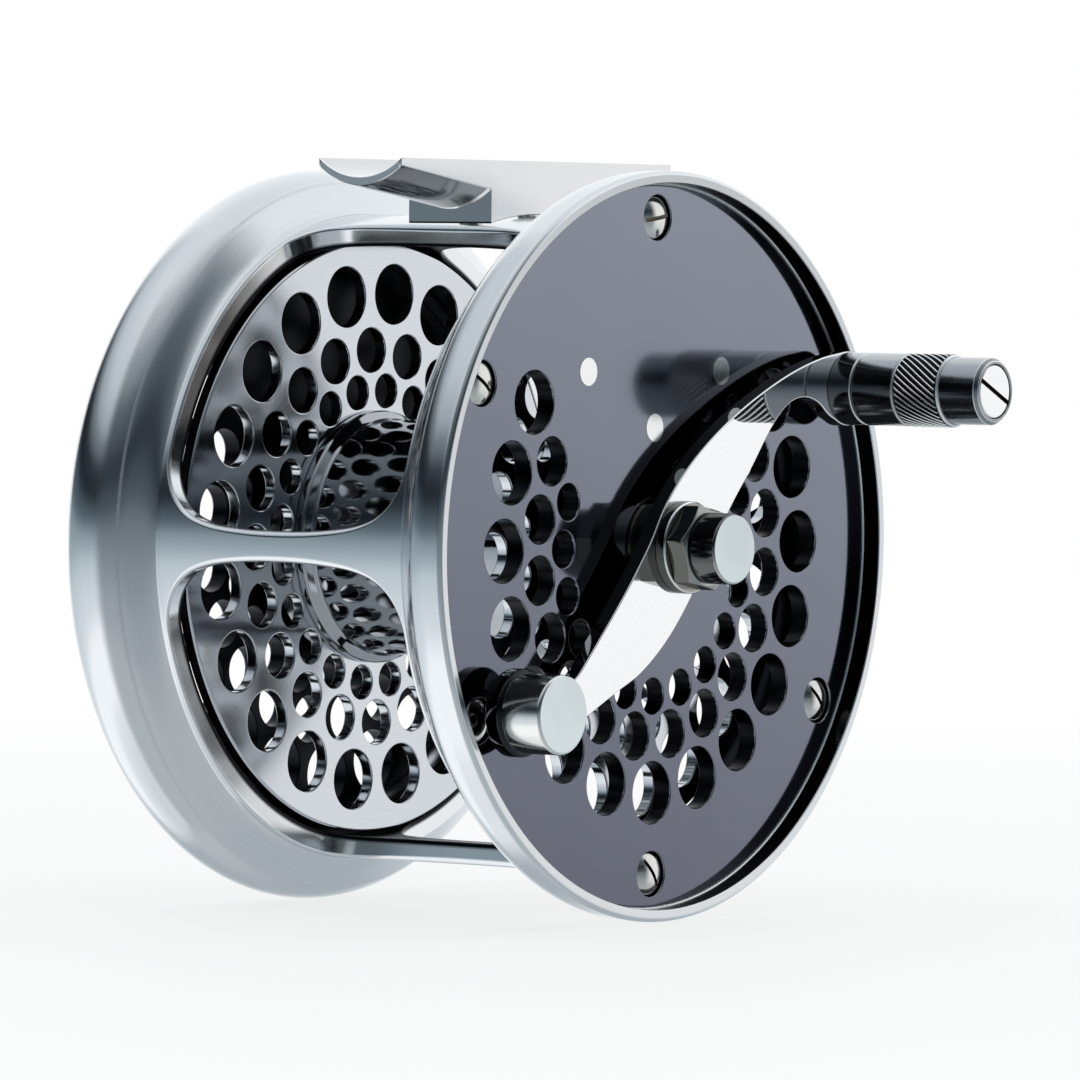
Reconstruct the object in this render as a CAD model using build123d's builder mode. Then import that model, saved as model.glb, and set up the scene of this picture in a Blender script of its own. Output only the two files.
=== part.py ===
from build123d import *
import math
import os

os.makedirs("parts", exist_ok=True)

# Centrepin-style fly reel with an S-shaped handle arm, in millimetres.
# X runs along the spindle with +X (front) on the handle side, Y runs along the rod and
# +Z points from the spindle up to the reel foot.
# The origin is the middle of the hollow on top of the reel foot.
# Points given as (y, z) pairs are measured from the spindle line.

# --- main sizes ---
z_axis = -48.7          # height of the spindle below the foot hollow
x_face = 29.6           # front edge of the cage's front ring
r_cage = 50.0           # outer radius of front ring and rear rim
r_barrel = 44.0         # outer radius of the cage wall between the windows
r_bore = 41.0           # inside of the cage
r_rear_lip = 38.0       # inside of the lip in front of the rear plate
r_front_seat = 48.35    # recess for the front side plate
r_front_plate = 48.3
r_rear_seat = 44.6      # recess for the rear side plate
r_flange = 40.1         # spool flange
r_arbor = 16.0          # spool arbor
r_register = 13.5       # bore of the arbor, which centres the flanges
r_spindle = 4.0
r_spindle_nose = 3.1    # reduced front end of the spindle
slip = 0.03             # clearance a side between fitted pieces
gap = 0.02              # clearance between pieces meeting end to end
r_running = r_spindle + slip

# --- stations along the spindle ---
plate_t = 2.80
plate_front = x_face - 2.74     # front side plate
plate_back = plate_front - plate_t
ring_band = x_face - 4.9        # back of the front ring's straight band
ring_end = x_face - 10.7
win_front = x_face - 11.6       # cage windows
win_rear = x_face - 51.5
rear_seat = x_face - 58.2       # rear side plate
rear_plate_back = x_face - 61.0
rim_mid = x_face - 59.85
rim_rear = x_face - 65.5
flange_t = 1.8
ff_front = x_face - 10.2        # spool front flange
ff_back = ff_front - flange_t
rf_front = x_face - 50.43       # spool rear flange
rf_back = rf_front - flange_t
arm_back = x_face - 0.35        # handle arm
arm_front = x_face + 1.95
boss_end = x_face - 64.6        # back of the rear plate's boss
spindle_rear = x_face - 62.9

CENTRE = [(0, 0)]


def ring_points(radius, start, step, count):
    """(y, z) points round the spindle; angles in degrees from +Y towards +Z."""
    return [polar(radius, start + step * k) for k in range(count)]


def polar(radius, angle):
    return (radius * math.cos(math.radians(angle)), radius * math.sin(math.radians(angle)))


# --- perforations: (hole radius, hole centres) for each ring of holes ---
ring_outer, hole_outer = 32.9, 4.20
ring_mid, hole_mid = 25.47, 3.25
ring_inner, hole_inner = 20.0, 2.45
pitch = 18.0
flange_phase = 11.1

plate_perforations = [
    (hole_outer, ring_points(ring_outer, 144, pitch, 15)),
    (hole_mid, ring_points(ring_mid, 144 + pitch / 2, pitch, 14)),
    (hole_inner, ring_points(ring_inner, 144 + pitch, pitch, 13)),
]
flange_perforations = [
    (hole_outer - 0.1, ring_points(ring_outer + 0.42, flange_phase, pitch, 20)),
    (hole_mid - 0.2, ring_points(ring_mid, flange_phase + pitch / 2, pitch, 20)),
    (hole_inner - 0.13, ring_points(ring_inner, flange_phase, pitch, 20)),
]

# --- fastener and pin centres ---
front_screw_points = ring_points(43.75, 30, 60, 6)
rear_screw_points = ring_points(41.3, 0, 60, 6)
spool_screw_points = ring_points(14.7, flange_phase, 90, 4)
wheel_screw_points = ring_points(5.8, 0, 180, 2)
key_pin_points = ring_points(14.3, 30, 120, 3)
push_pin_points = ring_points(11.7, 90, 120, 3)
foot_screw_y = 6.5
r_plate_screw_hole = 1.3
r_plate_screw_tap = 1.05
r_plate_screw = 1.02
r_small_screw = 0.68            # shank of the spool and click wheel screws
r_small_tap = 0.72


# ---------------------------------------------------------------------------
# Shared helpers
# ---------------------------------------------------------------------------
def across(x):
    """Plane square to the spindle; local x is +Y, local y is +Z."""
    return Plane(origin=(x, 0, z_axis), x_dir=(0, 1, 0), z_dir=(1, 0, 0))


def half_section(at=(0, 0)):
    """Plane holding an axis parallel to the spindle; local (x, y) is (x, radius)."""
    return Plane(origin=(0, at[0], z_axis + at[1]), x_dir=(1, 0, 0), z_dir=(0, -1, 0))


def axis_at(at=(0, 0)):
    return Axis((0, at[0], z_axis + at[1]), (1, 0, 0))


# A sketch made in a helper does not join the caller's part, so each helper passes
# its own sketch to extrude or revolve.
def turned(outline, at=(0, 0), mode=Mode.ADD):
    """Revolve a closed outline of (x, radius) points."""
    with BuildSketch(half_section(at)) as section:
        with BuildLine():
            Polyline(*outline, close=True)
        make_face()
    revolve(section.sketch, axis=axis_at(at), mode=mode)


def bars(x0, x1, radius, points=CENTRE, mode=Mode.ADD):
    """Round bars along X from station x0 to x1."""
    with BuildSketch(across(x0)) as ends:
        with Locations(*points):
            Circle(radius)
    extrude(ends.sketch, amount=x1 - x0, mode=mode)


def tube(x0, x1, outer, inner, at=(0, 0)):
    with BuildSketch(across(x0)) as annulus:
        with Locations(at):
            Circle(outer)
            Circle(inner, mode=Mode.SUBTRACT)
    extrude(annulus.sketch, amount=x1 - x0)


def blocks(x0, x1, width, height, points=CENTRE, angle=0, mode=Mode.SUBTRACT):
    """Rectangular blocks along X, by default cut away; width lies along Y at angle 0."""
    with BuildSketch(across(x0)) as ends:
        with Locations(*points):
            Rectangle(width, height, rotation=angle)
    extrude(ends.sketch, amount=x1 - x0, mode=mode)


def cones(x_wide, x_narrow, r_wide, r_narrow, points, mode=Mode.ADD):
    """Conical screw heads or countersinks."""
    with BuildSketch(across(x_wide)) as wide_ends:
        with Locations(*points):
            Circle(r_wide)
    depth = x_narrow - x_wide
    taper = math.degrees(math.atan((r_wide - r_narrow) / abs(depth)))
    extrude(wide_ends.sketch, amount=depth, taper=taper, mode=mode)


def domed_screw(at, shank, head, head_r, dome, slot, slot_size, slot_angle):
    """Slotted screw; shank, head and slot are (x0, x1).

    dome is the crown's (base x, mid x, mid radius, top x).
    """
    bars(*shank, radius=r_plate_screw, points=[at])
    bars(*head, radius=head_r, points=[at])
    base_x, mid_x, mid_r, top_x = dome
    with BuildSketch(half_section(at)) as crown:
        with BuildLine():
            Line((base_x, 0), (top_x, 0))
            ThreePointArc((top_x, 0), (mid_x, mid_r), (base_x, head_r))
            Line((base_x, head_r), (base_x, 0))
        make_face()
    revolve(crown.sketch, axis=axis_at(at))
    blocks(*slot, *slot_size, points=[at], angle=slot_angle)


def foot_bars(z0, z1, radius, taper=0, mode=Mode.ADD):
    """Upright round bars at the two foot screws."""
    with BuildSketch(Plane.XY.offset(z0)) as ends:
        with Locations((0, -foot_screw_y), (0, foot_screw_y)):
            Circle(radius)
    extrude(ends.sketch, amount=z1 - z0, taper=taper, mode=mode)


def punch(radius, points):
    """Cut round holes in the sketch being built."""
    with Locations(*points):
        Circle(radius, mode=Mode.SUBTRACT)


def perforate(perforations):
    for radius, points in perforations:
        punch(radius, points)


def front_edges(builder):
    """Edges of the face nearest +X."""
    return builder.faces().sort_by(Axis.X)[-1].edges()


def circles(builder, test):
    return builder.edges().filter_by(GeomType.CIRCLE).filter_by(test)


# ---------------------------------------------------------------------------
# Cage: front ring, rear rim, three slim pillars and the foot bridge, one piece
# ---------------------------------------------------------------------------
# (x from the front ring's edge, half width) of a slim pillar and of the foot bridge
pillar_edge = [
    (-11.6, 11.2), (-12.1, 8.6), (-13.2, 6.5), (-15.4, 4.45), (-19.0, 3.1),
    (-25.5, 2.3), (-31.8, 2.1), (-38.0, 2.25), (-44.0, 2.9), (-47.6, 4.2),
    (-49.8, 6.4), (-51.0, 8.9), (-51.5, 11.6),
]
bridge_edge = [
    (-11.6, 20.4), (-12.2, 17.6), (-13.9, 15.0), (-17.2, 13.4), (-23.0, 12.4),
    (-31.8, 11.8), (-40.5, 11.7), (-46.3, 12.3), (-49.4, 14.0), (-51.0, 16.8),
    (-51.5, 19.2),
]


def keep_pillar(angle, edge):
    """Take an hourglass block out of the window cutter so a pillar is left there."""
    c, s = polar(1, angle)
    start_r = 36
    outward = Plane(
        origin=(0, start_r * c, z_axis + start_r * s), x_dir=(1, 0, 0), z_dir=(0, c, s)
    )
    top = [(x_face + x, half_width) for x, half_width in edge]
    low = [(x_face + x, -half_width) for x, half_width in reversed(edge)]
    with BuildSketch(outward) as hourglass:
        with BuildLine():
            Spline(*top, tangents=[(0, -1), (0, 1)])
            Line(top[-1], low[0])
            Spline(*low, tangents=[(0, 1), (0, -1)])
            Line(low[-1], top[0])
        make_face()
    extrude(hourglass.sketch, amount=12, mode=Mode.SUBTRACT)


def window_cutter():
    with BuildPart() as cutter:
        tube(win_rear, win_front, outer=46.0, inner=38.0)
        for angle in (0, 180, 270):
            keep_pillar(angle, pillar_edge)
        keep_pillar(90, bridge_edge)
    return cutter.part


def cage_frame():
    windows = window_cutter()
    edge_r = 0.45                               # rounding of the front outer edge
    band_corner = (ring_band - 0.354, 49.646)   # band rounding meets the sloping back
    rim_start = (rim_mid + 4.459, 48.015)       # front of the domed rear rim
    rim_end = (rim_rear, 46.02)
    step_x = ring_end - 0.3
    lip_front = rear_seat + 3.4
    with BuildPart() as cage:
        with BuildSketch(half_section()):
            with BuildLine():
                Line((x_face, r_front_seat), (x_face, r_cage - edge_r))
                RadiusArc((x_face, r_cage - edge_r), (x_face - edge_r, r_cage), -edge_r)
                Line((x_face - edge_r, r_cage), (ring_band + 0.5, r_cage))
                RadiusArc((ring_band + 0.5, r_cage), band_corner, -1.2)
                Polyline(
                    band_corner, (ring_end, 44.3), (step_x, 44.3), (step_x, r_barrel),
                    (x_face - 52.1, r_barrel), rim_start,
                )
                ThreePointArc(rim_start, (rim_mid, r_cage), rim_end)
                Polyline(
                    rim_end, (rim_rear, r_rear_seat), (rear_seat, r_rear_seat),
                    (rear_seat, r_rear_lip), (lip_front, r_rear_lip), (lip_front, r_bore),
                    (plate_back, r_bore), (plate_back, r_front_seat), (x_face, r_front_seat),
                )
            make_face()
        revolve(axis=axis_at())
        add(windows, mode=Mode.SUBTRACT)

        # tapped holes for the plate screws and the foot screws
        bars(plate_back - 4.2, plate_back, r_plate_screw_tap, front_screw_points, Mode.SUBTRACT)
        bars(rear_seat, rear_seat + 2.8, r_plate_screw_tap, rear_screw_points, Mode.SUBTRACT)
        foot_bars(-4.0, -9.5, radius=1.28, mode=Mode.SUBTRACT)
    return cage.part


# ---------------------------------------------------------------------------
# Reel foot
# ---------------------------------------------------------------------------
foot_half = 30.0        # half length along the rod
foot_w = 7.0            # half width
foot_rim = 2.6          # height of the long edges above the hollow
block_half = 10.5       # half length of the middle block
wing_tip_t = 1.15
wing_root_t = 4.0
r_foot_screw_head = 2.9


def foot_section(y, thickness):
    """Hollow-topped, round-bottomed cross-section of a foot wing at station y."""
    low = foot_rim - thickness
    with BuildSketch(Plane.XZ.offset(-y)) as section:
        with BuildLine():
            ThreePointArc((-foot_w, foot_rim), (0, 0), (foot_w, foot_rim))
            Line((foot_w, foot_rim), (foot_w, low))
            ThreePointArc((foot_w, low), (0, -thickness), (-foot_w, low))
            Line((-foot_w, low), (-foot_w, foot_rim))
        make_face()
    return section.sketch


def reel_foot():
    block_bottom = -7.0
    with BuildPart() as foot:
        loft([foot_section(-foot_half, wing_tip_t), foot_section(-block_half, wing_root_t)])
        loft([foot_section(block_half, wing_root_t), foot_section(foot_half, wing_tip_t)])
        with BuildSketch(Plane.XZ.offset(block_half)):
            with BuildLine():
                ThreePointArc((-foot_w, foot_rim), (0, 0), (foot_w, foot_rim))
                Polyline(
                    (foot_w, foot_rim), (foot_w, block_bottom),
                    (-foot_w, block_bottom), (-foot_w, foot_rim),
                )
            make_face()
        extrude(amount=-2 * block_half)
        fillet(
            foot.edges().filter_by(Axis.Z).filter_by(lambda e: e.length > 4),
            radius=0.7,
        )
        # saddle on the cage wall
        bars(-40, 40, r_barrel + slip, mode=Mode.SUBTRACT)
        with Locations((0, -foot_screw_y, 0), (0, foot_screw_y, 0)):
            CounterSinkHole(
                radius=1.6,
                counter_sink_radius=r_foot_screw_head,
                depth=9,
                counter_sink_angle=90,
            )
        foot_bars(0, foot_rim, radius=r_foot_screw_head, mode=Mode.SUBTRACT)
    return foot.part


def foot_screws():
    head_top = -0.05
    head_depth = 1.3
    with BuildPart() as screws:
        foot_bars(-7.6, -4.5, radius=1.24)
        foot_bars(-4.8, -1.1, radius=1.5)
        foot_bars(head_top, head_top - head_depth, radius=2.8, taper=45)
        with Locations((0, -foot_screw_y, head_top), (0, foot_screw_y, head_top)):
            Box(7, 0.7, 1.3, rotation=(0, 0, 35), mode=Mode.SUBTRACT)
    return screws.part


# ---------------------------------------------------------------------------
# Front side plate, its screws, the click posts and the front bearing
# ---------------------------------------------------------------------------
pivot_post = (14.7, 23.3)
spring_post = (-15.0, 23.3)
stop_posts = [(-0.2, 15.8), (17.5, 18.2), (5.6, 9.6)]
r_post_face = 1.87      # post where it fills the plate
r_post = 1.30           # post behind the plate
r_front_bush = 6.5


def front_side_plate():
    with BuildPart() as plate:
        with BuildSketch(across(plate_back)):
            Circle(r_front_plate)
            perforate(plate_perforations)
            punch(r_plate_screw_hole, front_screw_points)
            punch(r_post_face + 0.01, [spring_post, pivot_post, *stop_posts])
            punch(r_front_bush + slip, CENTRE)
        extrude(amount=plate_t)
        chamfer(
            circles(plate, lambda e: abs(e.radius - r_front_plate) < 0.01).filter_by(
                lambda e: e.center().X > plate_front - 0.1
            ),
            0.45,
        )
        bars(plate_front - 1.6, plate_front, 3.07, front_screw_points, Mode.SUBTRACT)
    return plate.part


def front_plate_screws():
    slot_angles = [-20, 8.6, -35, 55, -53, -51]
    seat = plate_front - 1.58
    with BuildPart() as screws:
        for at, slot_angle in zip(front_screw_points, slot_angles):
            domed_screw(
                at,
                shank=(plate_back - 4.0, seat + 0.02),
                head=(seat, plate_front - 0.45),
                head_r=2.85,
                dome=(plate_front - 0.47, plate_front + 0.21, 1.46, plate_front + 0.42),
                slot=(plate_front + 1.0, plate_front - 0.75),
                slot_size=(7.0, 0.55),
                slot_angle=slot_angle,
            )
    return screws.part


def stepped_posts(points):
    with BuildPart() as posts:
        bars(plate_back, plate_front + 0.04, r_post_face, points)
        bars(x_face - 9.25, plate_back + 0.1, r_post, points)
    return posts.part


def click_pivot_post():
    return stepped_posts([pivot_post])


def click_spring_post():
    return stepped_posts([spring_post])


def click_stop_posts():
    return stepped_posts(stop_posts)


def front_bearing_bush():
    back = x_face - 6.6
    shoulder = plate_back - gap
    front = plate_front + 0.5
    r_collar = 9.0
    with BuildPart() as bush:
        turned([
            (back, r_running), (back, r_collar), (shoulder, r_collar),
            (shoulder, r_front_bush), (front, r_front_bush), (front, r_running),
        ])
    return bush.part


# ---------------------------------------------------------------------------
# Click lever, its spring and the toothed wheel
# ---------------------------------------------------------------------------
teeth = 36
tooth_tip_r, tooth_root_r = 8.6, 7.7
lever_tip_r = 8.05      # distance of the lever's tip from the spindle line
pivot_r = math.hypot(*pivot_post)
# the lever is tangent to the circle its tip lies on
lever_len = math.sqrt(pivot_r ** 2 - lever_tip_r ** 2)
gap_angle = math.degrees(
    math.atan2(pivot_post[1], pivot_post[0]) + math.acos(lever_tip_r / pivot_r)
)
lever_tip = polar(lever_tip_r, gap_angle)
along_y = (lever_tip[0] - pivot_post[0]) / lever_len
along_z = (lever_tip[1] - pivot_post[1]) / lever_len


def lever_point(along, out):
    """(y, z) from the pivot: along the lever, and out away from the wheel."""
    return (
        pivot_post[0] + along * along_y + out * along_z,
        pivot_post[1] + along * along_z - out * along_y,
    )


# (along, out) outline; the four points about lever_len make the tooth at the tip
lever_outline = [
    (0, 1.5), (13.0, 1.15), (24.2, 2.1),
    (lever_len + 0.75, 2.1), (lever_len + 0.72, 1.1),
    (lever_len + 0.10, 0.02), (lever_len - 0.10, 0.02),
    (lever_len - 0.72, 1.1), (23.4, 0.55),
    (17.6, -0.9), (16.8, -3.0), (14.8, -3.0), (14.0, -0.9), (0, -1.6),
]


def click_lever():
    with BuildPart() as lever:
        with BuildSketch(across(x_face - 8.75)):
            with Locations(pivot_post):
                Circle(2.7)
            with BuildLine():
                Polyline(*[lever_point(*point) for point in lever_outline], close=True)
            make_face()
            punch(r_post + slip, [pivot_post])
        extrude(amount=1.5)
    return lever.part


def click_spring():
    wire_t = 0.45
    tip_y, tip_z = lever_point(22.0, 2.22)
    # (y, z, half step in y, half step in z) along the middle of the spring leaf
    leaf = [
        (spring_post[0] + 0.3, spring_post[1] - r_post - 0.3, 0.16, 0.16),
        (-8.5, 15.4, 0.16, 0.14),
        (tip_y, tip_z, 0.16, 0.14),
    ]
    low_side = [(y - step_y, z - step_z) for y, z, step_y, step_z in leaf]
    high_side = [(y + step_y, z + step_z) for y, z, step_y, step_z in reversed(leaf)]
    with BuildPart() as spring:
        with BuildSketch(across(x_face - 8.6)):
            with Locations(spring_post):
                Circle(r_post + slip + wire_t)
            with BuildLine():
                Polyline(*low_side, *high_side, close=True)
            make_face()
            punch(r_post + slip, [spring_post])
        extrude(amount=1.2)
    return spring.part


def click_wheel():
    half_tip = 0.7      # half angle of a tooth's flat tip, degrees
    back, front = x_face - 8.9, x_face - 7.1
    outline = []
    for k in range(teeth):
        root_angle = gap_angle + 360.0 / teeth * k
        tip_angle = root_angle + 180.0 / teeth
        outline.append(polar(tooth_root_r, root_angle))
        outline.append(polar(tooth_tip_r, tip_angle - half_tip))
        outline.append(polar(tooth_tip_r, tip_angle + half_tip))
    with BuildPart() as wheel:
        with BuildSketch(across(back)):
            with BuildLine():
                Polyline(*outline, close=True)
            make_face()
            punch(r_running, CENTRE)
            punch(0.75, wheel_screw_points)
        extrude(amount=front - back)
        cones(front, front - 0.7, 1.42, r_small_tap, wheel_screw_points, Mode.SUBTRACT)
    return wheel.part


def click_wheel_screws():
    points = wheel_screw_points
    with BuildPart() as screws:
        bars(x_face - 11.4, x_face - 7.5, r_small_screw, points)
        cones(x_face - 7.15, x_face - 7.8, 1.33, r_small_screw, points)
        blocks(x_face - 7.0, x_face - 7.5, width=0.32, height=3.2, points=points)
    return screws.part


# ---------------------------------------------------------------------------
# Spool: arbor, two perforated flanges, screws, key and spindle
# ---------------------------------------------------------------------------
keyway_w, keyway_h = 2.04, 2.5
key_w, key_h = 2.0, 2.44
key_centre = [(0, 4.2)]
flat_w, flat_h = 9, 2.0         # blocks that cut the flats on the spindle
flat_offset = 4.1


def spool_arbor():
    front = ff_back - gap
    rear = rf_front + gap
    r_lip, r_lip_top, r_lip_foot = 17.2, 17.35, 16.75
    with BuildPart() as arbor:
        with BuildSketch(half_section()):
            with BuildLine():
                Line((rear, r_register), (rear, r_lip))
                ThreePointArc((rear, r_lip), (rear + 0.85, r_lip_top), (rear + 1.3, r_lip_foot))
                RadiusArc((rear + 1.3, r_lip_foot), (rear + 2.3, r_arbor), 1.1)
                Line((rear + 2.3, r_arbor), (front - 2.3, r_arbor))
                RadiusArc((front - 2.3, r_arbor), (front - 1.3, r_lip_foot), 1.1)
                ThreePointArc(
                    (front - 1.3, r_lip_foot), (front - 0.85, r_lip_top), (front, r_lip)
                )
                Polyline((front, r_lip), (front, r_register), (rear, r_register))
            make_face()
        revolve(axis=axis_at())
        bars(front - 4.5, front, r_small_tap, spool_screw_points, Mode.SUBTRACT)
        bars(rear, rear + 4.5, r_small_tap, spool_screw_points, Mode.SUBTRACT)
    return arbor.part


def flange_disc(x_back):
    with BuildSketch(across(x_back)) as disc:
        Circle(r_flange)
        perforate(flange_perforations)
    extrude(disc.sketch, amount=flange_t)


def finish_flange(flange, outer_face, inward):
    """Countersunk screw holes and a rounded rim; inward is the sign of X to the arbor."""
    points = spool_screw_points
    bars(outer_face, outer_face + inward * flange_t, 0.75, points, Mode.SUBTRACT)
    cones(outer_face, outer_face + inward * 0.8, 1.52, 0.72, points, Mode.SUBTRACT)
    fillet(circles(flange, lambda e: abs(e.radius - r_flange) < 0.01), 0.4)


def spool_front_flange():
    with BuildPart() as flange:
        flange_disc(ff_back)
        bars(ff_front, x_face - 8.92, radius=7.4)
        bars(ff_back - 2.2, ff_back, radius=r_register - slip)
        bars(ff_back - 3, x_face, radius=r_running, mode=Mode.SUBTRACT)
        bars(x_face - 11.6, x_face, r_small_tap, wheel_screw_points, Mode.SUBTRACT)
        finish_flange(flange, ff_front, inward=-1)
    return flange.part


def spool_rear_flange():
    with BuildPart() as flange:
        flange_disc(rf_back)
        bars(rf_front, rf_front + 4.0, radius=r_register - slip)
        bars(rf_back - 1, rf_front + 5, radius=r_running, mode=Mode.SUBTRACT)
        blocks(rf_back - 1, rf_back + 6, keyway_w, keyway_h, key_centre)
        finish_flange(flange, rf_back, inward=1)
    return flange.part


def spool_screws(outer_face, inward):
    """Countersunk screws through one flange; inward is the sign of X to the arbor."""
    shank_end = outer_face + inward * (flange_t + 3.8)
    points = spool_screw_points
    with BuildPart() as screws:
        bars(shank_end, outer_face + inward * 0.5, r_small_screw, points)
        cones(
            outer_face + inward * 0.04, outer_face + inward * 0.8,
            1.44, r_small_screw, points,
        )
        blocks(outer_face, outer_face + inward * 0.45, width=0.35, height=3.2, points=points)
    return screws.part


def spool_front_screws():
    return spool_screws(ff_front, inward=-1)


def spool_rear_screws():
    return spool_screws(rf_back, inward=1)


def spindle():
    with BuildPart() as rod:
        bars(spindle_rear, arm_front, radius=r_spindle)
        blocks(
            arm_back - gap, arm_front, flat_w, flat_h,
            points=[(0, flat_offset), (0, -flat_offset)],
        )
        bars(arm_front, x_face + 9.2, radius=r_spindle_nose)
        chamfer(front_edges(rod), 0.5)
        bars(spindle_rear, spindle_rear + 7, radius=1.28, mode=Mode.SUBTRACT)
        blocks(rf_back - 0.02, rf_back + 5.98, keyway_w, keyway_h, key_centre)
    return rod.part


def spool_key():
    back = rf_back + 0.02
    with BuildPart() as key:
        blocks(back, back + 5.7, key_w, key_h, key_centre, mode=Mode.ADD)
    return key.part


def hub_spacer():
    with BuildPart() as spacer:
        tube(plate_front + 0.55, arm_back - gap, outer=6.3, inner=r_running)
    return spacer.part


# ---------------------------------------------------------------------------
# Rear side plate, its screws and the spindle's rear bearing
# ---------------------------------------------------------------------------
r_boss = 9.0            # boss on the back of the rear plate
r_rear_bush = 7.0


def rear_side_plate():
    with BuildPart() as plate:
        with BuildSketch(across(rear_plate_back)):
            Circle(r_rear_seat - slip)
            perforate(plate_perforations)
            punch(r_plate_screw_hole, rear_screw_points)
            punch(1.06, push_pin_points)
            punch(0.91, key_pin_points)
        extrude(amount=rear_seat - gap - rear_plate_back)
        bars(rear_plate_back, rear_plate_back + 1.5, 2.75, rear_screw_points, Mode.SUBTRACT)
        bars(boss_end, rear_plate_back, radius=r_boss)
        bars(boss_end, rear_seat, radius=r_rear_bush + slip, mode=Mode.SUBTRACT)
        chamfer(
            circles(
                plate, lambda e: e.radius > 44 and e.center().X < rear_plate_back + 0.1
            ),
            0.4,
        )
    return plate.part


def rear_plate_screws():
    slot_angles = [12, -40, 75, 28, -66, 50]
    seat = rear_plate_back + 1.48
    with BuildPart() as screws:
        for at, slot_angle in zip(rear_screw_points, slot_angles):
            domed_screw(
                at,
                shank=(seat - 0.02, rear_seat + 2.6),
                head=(seat, rear_plate_back + 0.4),
                head_r=2.55,
                dome=(
                    rear_plate_back + 0.42, rear_plate_back - 0.2, 1.31,
                    rear_plate_back - 0.4,
                ),
                slot=(rear_plate_back - 1.0, rear_plate_back + 0.7),
                slot_size=(6.4, 0.5),
                slot_angle=slot_angle,
            )
    return screws.part


def rear_bearing_bush():
    front = x_face - 57.2
    recess = x_face - 62.95
    r_collar, r_recess = 8.6, 6.0
    with BuildPart() as bush:
        turned([
            (front, r_running), (front, r_collar), (rear_seat, r_collar),
            (rear_seat, r_rear_bush), (boss_end, r_rear_bush), (boss_end, r_recess),
            (recess, r_recess), (recess, r_running),
        ])
    return bush.part


def spindle_end_washer():
    with BuildPart() as washer:
        tube(x_face - 63.55, x_face - 63.0, outer=5.7, inner=1.4)
    return washer.part


def spindle_end_screw():
    with BuildPart() as screw:
        bars(x_face - 63.6, x_face - 57.0, radius=1.24)
        bars(x_face - 64.45, x_face - 63.57, radius=2.9)
        chamfer(screw.faces().sort_by(Axis.X)[0].edges(), 0.25)
        blocks(x_face - 65.0, x_face - 64.0, width=0.6, height=8)
    return screw.part


# ---------------------------------------------------------------------------
# Drag: a screwed knob pushes three pins and a keyed plate at the spool's disc
# ---------------------------------------------------------------------------
r_drag_disc = 16.2
r_drag_disc_bore = 9.0
pressure_back = x_face - 55.3
follower_back = x_face - 57.1
thrust_back = x_face - 62.2
knob_back = x_face - 65.2


def drag_friction_disc():
    with BuildPart() as disc:
        tube(x_face - 53.3, rf_back - gap, outer=r_drag_disc, inner=r_drag_disc_bore)
    return disc.part


def drag_pressure_plate():
    with BuildPart() as plate:
        with BuildSketch(across(pressure_back)):
            Circle(r_drag_disc)
            punch(r_drag_disc_bore, CENTRE)
            punch(0.98, key_pin_points)
        extrude(amount=1.45)
    return plate.part


def drag_key_pins():
    with BuildPart() as pins:
        bars(rear_plate_back + 0.1, x_face - 54.1, radius=0.90, points=key_pin_points)
    return pins.part


def drag_spring_washer():
    front = pressure_back - 0.03
    back = x_face - 56.25
    thin = 0.27
    with BuildPart() as washer:
        turned([
            (front, 12.9), (front, 13.3), (front - thin, 13.3),
            (back, 10.3), (back, 9.9), (back + thin, 9.9),
        ])
    return washer.part


def drag_follower_ring():
    with BuildPart() as ring:
        tube(follower_back, x_face - 56.28, outer=13.2, inner=9.6)
    return ring.part


def drag_push_pins():
    with BuildPart() as pins:
        bars(x_face - 61.62, follower_back - gap, radius=1.0, points=push_pin_points)
    return pins.part


def drag_thrust_washer():
    with BuildPart() as washer:
        tube(thrust_back, x_face - 61.64, outer=13.4, inner=r_boss + 0.05)
    return washer.part


def drag_knob():
    grooves = 40
    with BuildPart() as knob:
        with BuildSketch(across(knob_back)):
            Circle(14.6)
            punch(0.62, ring_points(14.75, 0, 360.0 / grooves, grooves))
            punch(r_boss + slip, CENTRE)
        extrude(amount=thrust_back - gap - knob_back)
        # shallow tapered recess in the back
        with BuildSketch(across(knob_back)):
            Circle(12.3)
        extrude(amount=0.55, taper=35, mode=Mode.SUBTRACT)
    return knob.part


# ---------------------------------------------------------------------------
# Handle: S-shaped arm, hub fittings, counterweight and grip
# ---------------------------------------------------------------------------
grip_centre = (37.74, 20.88)
weight_centre = (-34.0, -20.84)
r_grip = 4.95
r_weight = 5.24
r_grip_post = 2.2
collar_front = x_face + 3.5
nut_front = x_face + 6.42
cap_back = x_face + 6.45
grip_back = x_face + 5.72
grip_end = x_face + 26.2

# (y, z) points along the arm's two long edges
arm_upper = [
    (-32.4, -15.3), (-29.6, -17.2), (-26.4, -17.9), (-23.2, -16.65), (-20.85, -14.45),
    (-18.4, -11.95), (-15.4, -8.85), (-11.2, -4.25), (-7.1, 0.75), (-3.9, 5.55),
    (0.9, 10.4), (7.75, 15.25), (15.2, 19.25), (24.35, 23.05), (31.6, 25.1), (36.7, 25.86),
]
arm_lower = [
    (35.5, 16.4), (33.3, 17.3), (31.0, 18.95), (27.9, 19.75), (24.4, 19.1),
    (20.7, 16.4), (15.5, 10.35), (10.7, 5.0), (6.4, -0.6), (2.2, -6.5),
    (-3.1, -12.2), (-9.0, -16.5), (-14.4, -18.9), (-20.6, -21.75), (-26.4, -24.5),
    (-32.6, -26.45),
]


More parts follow.
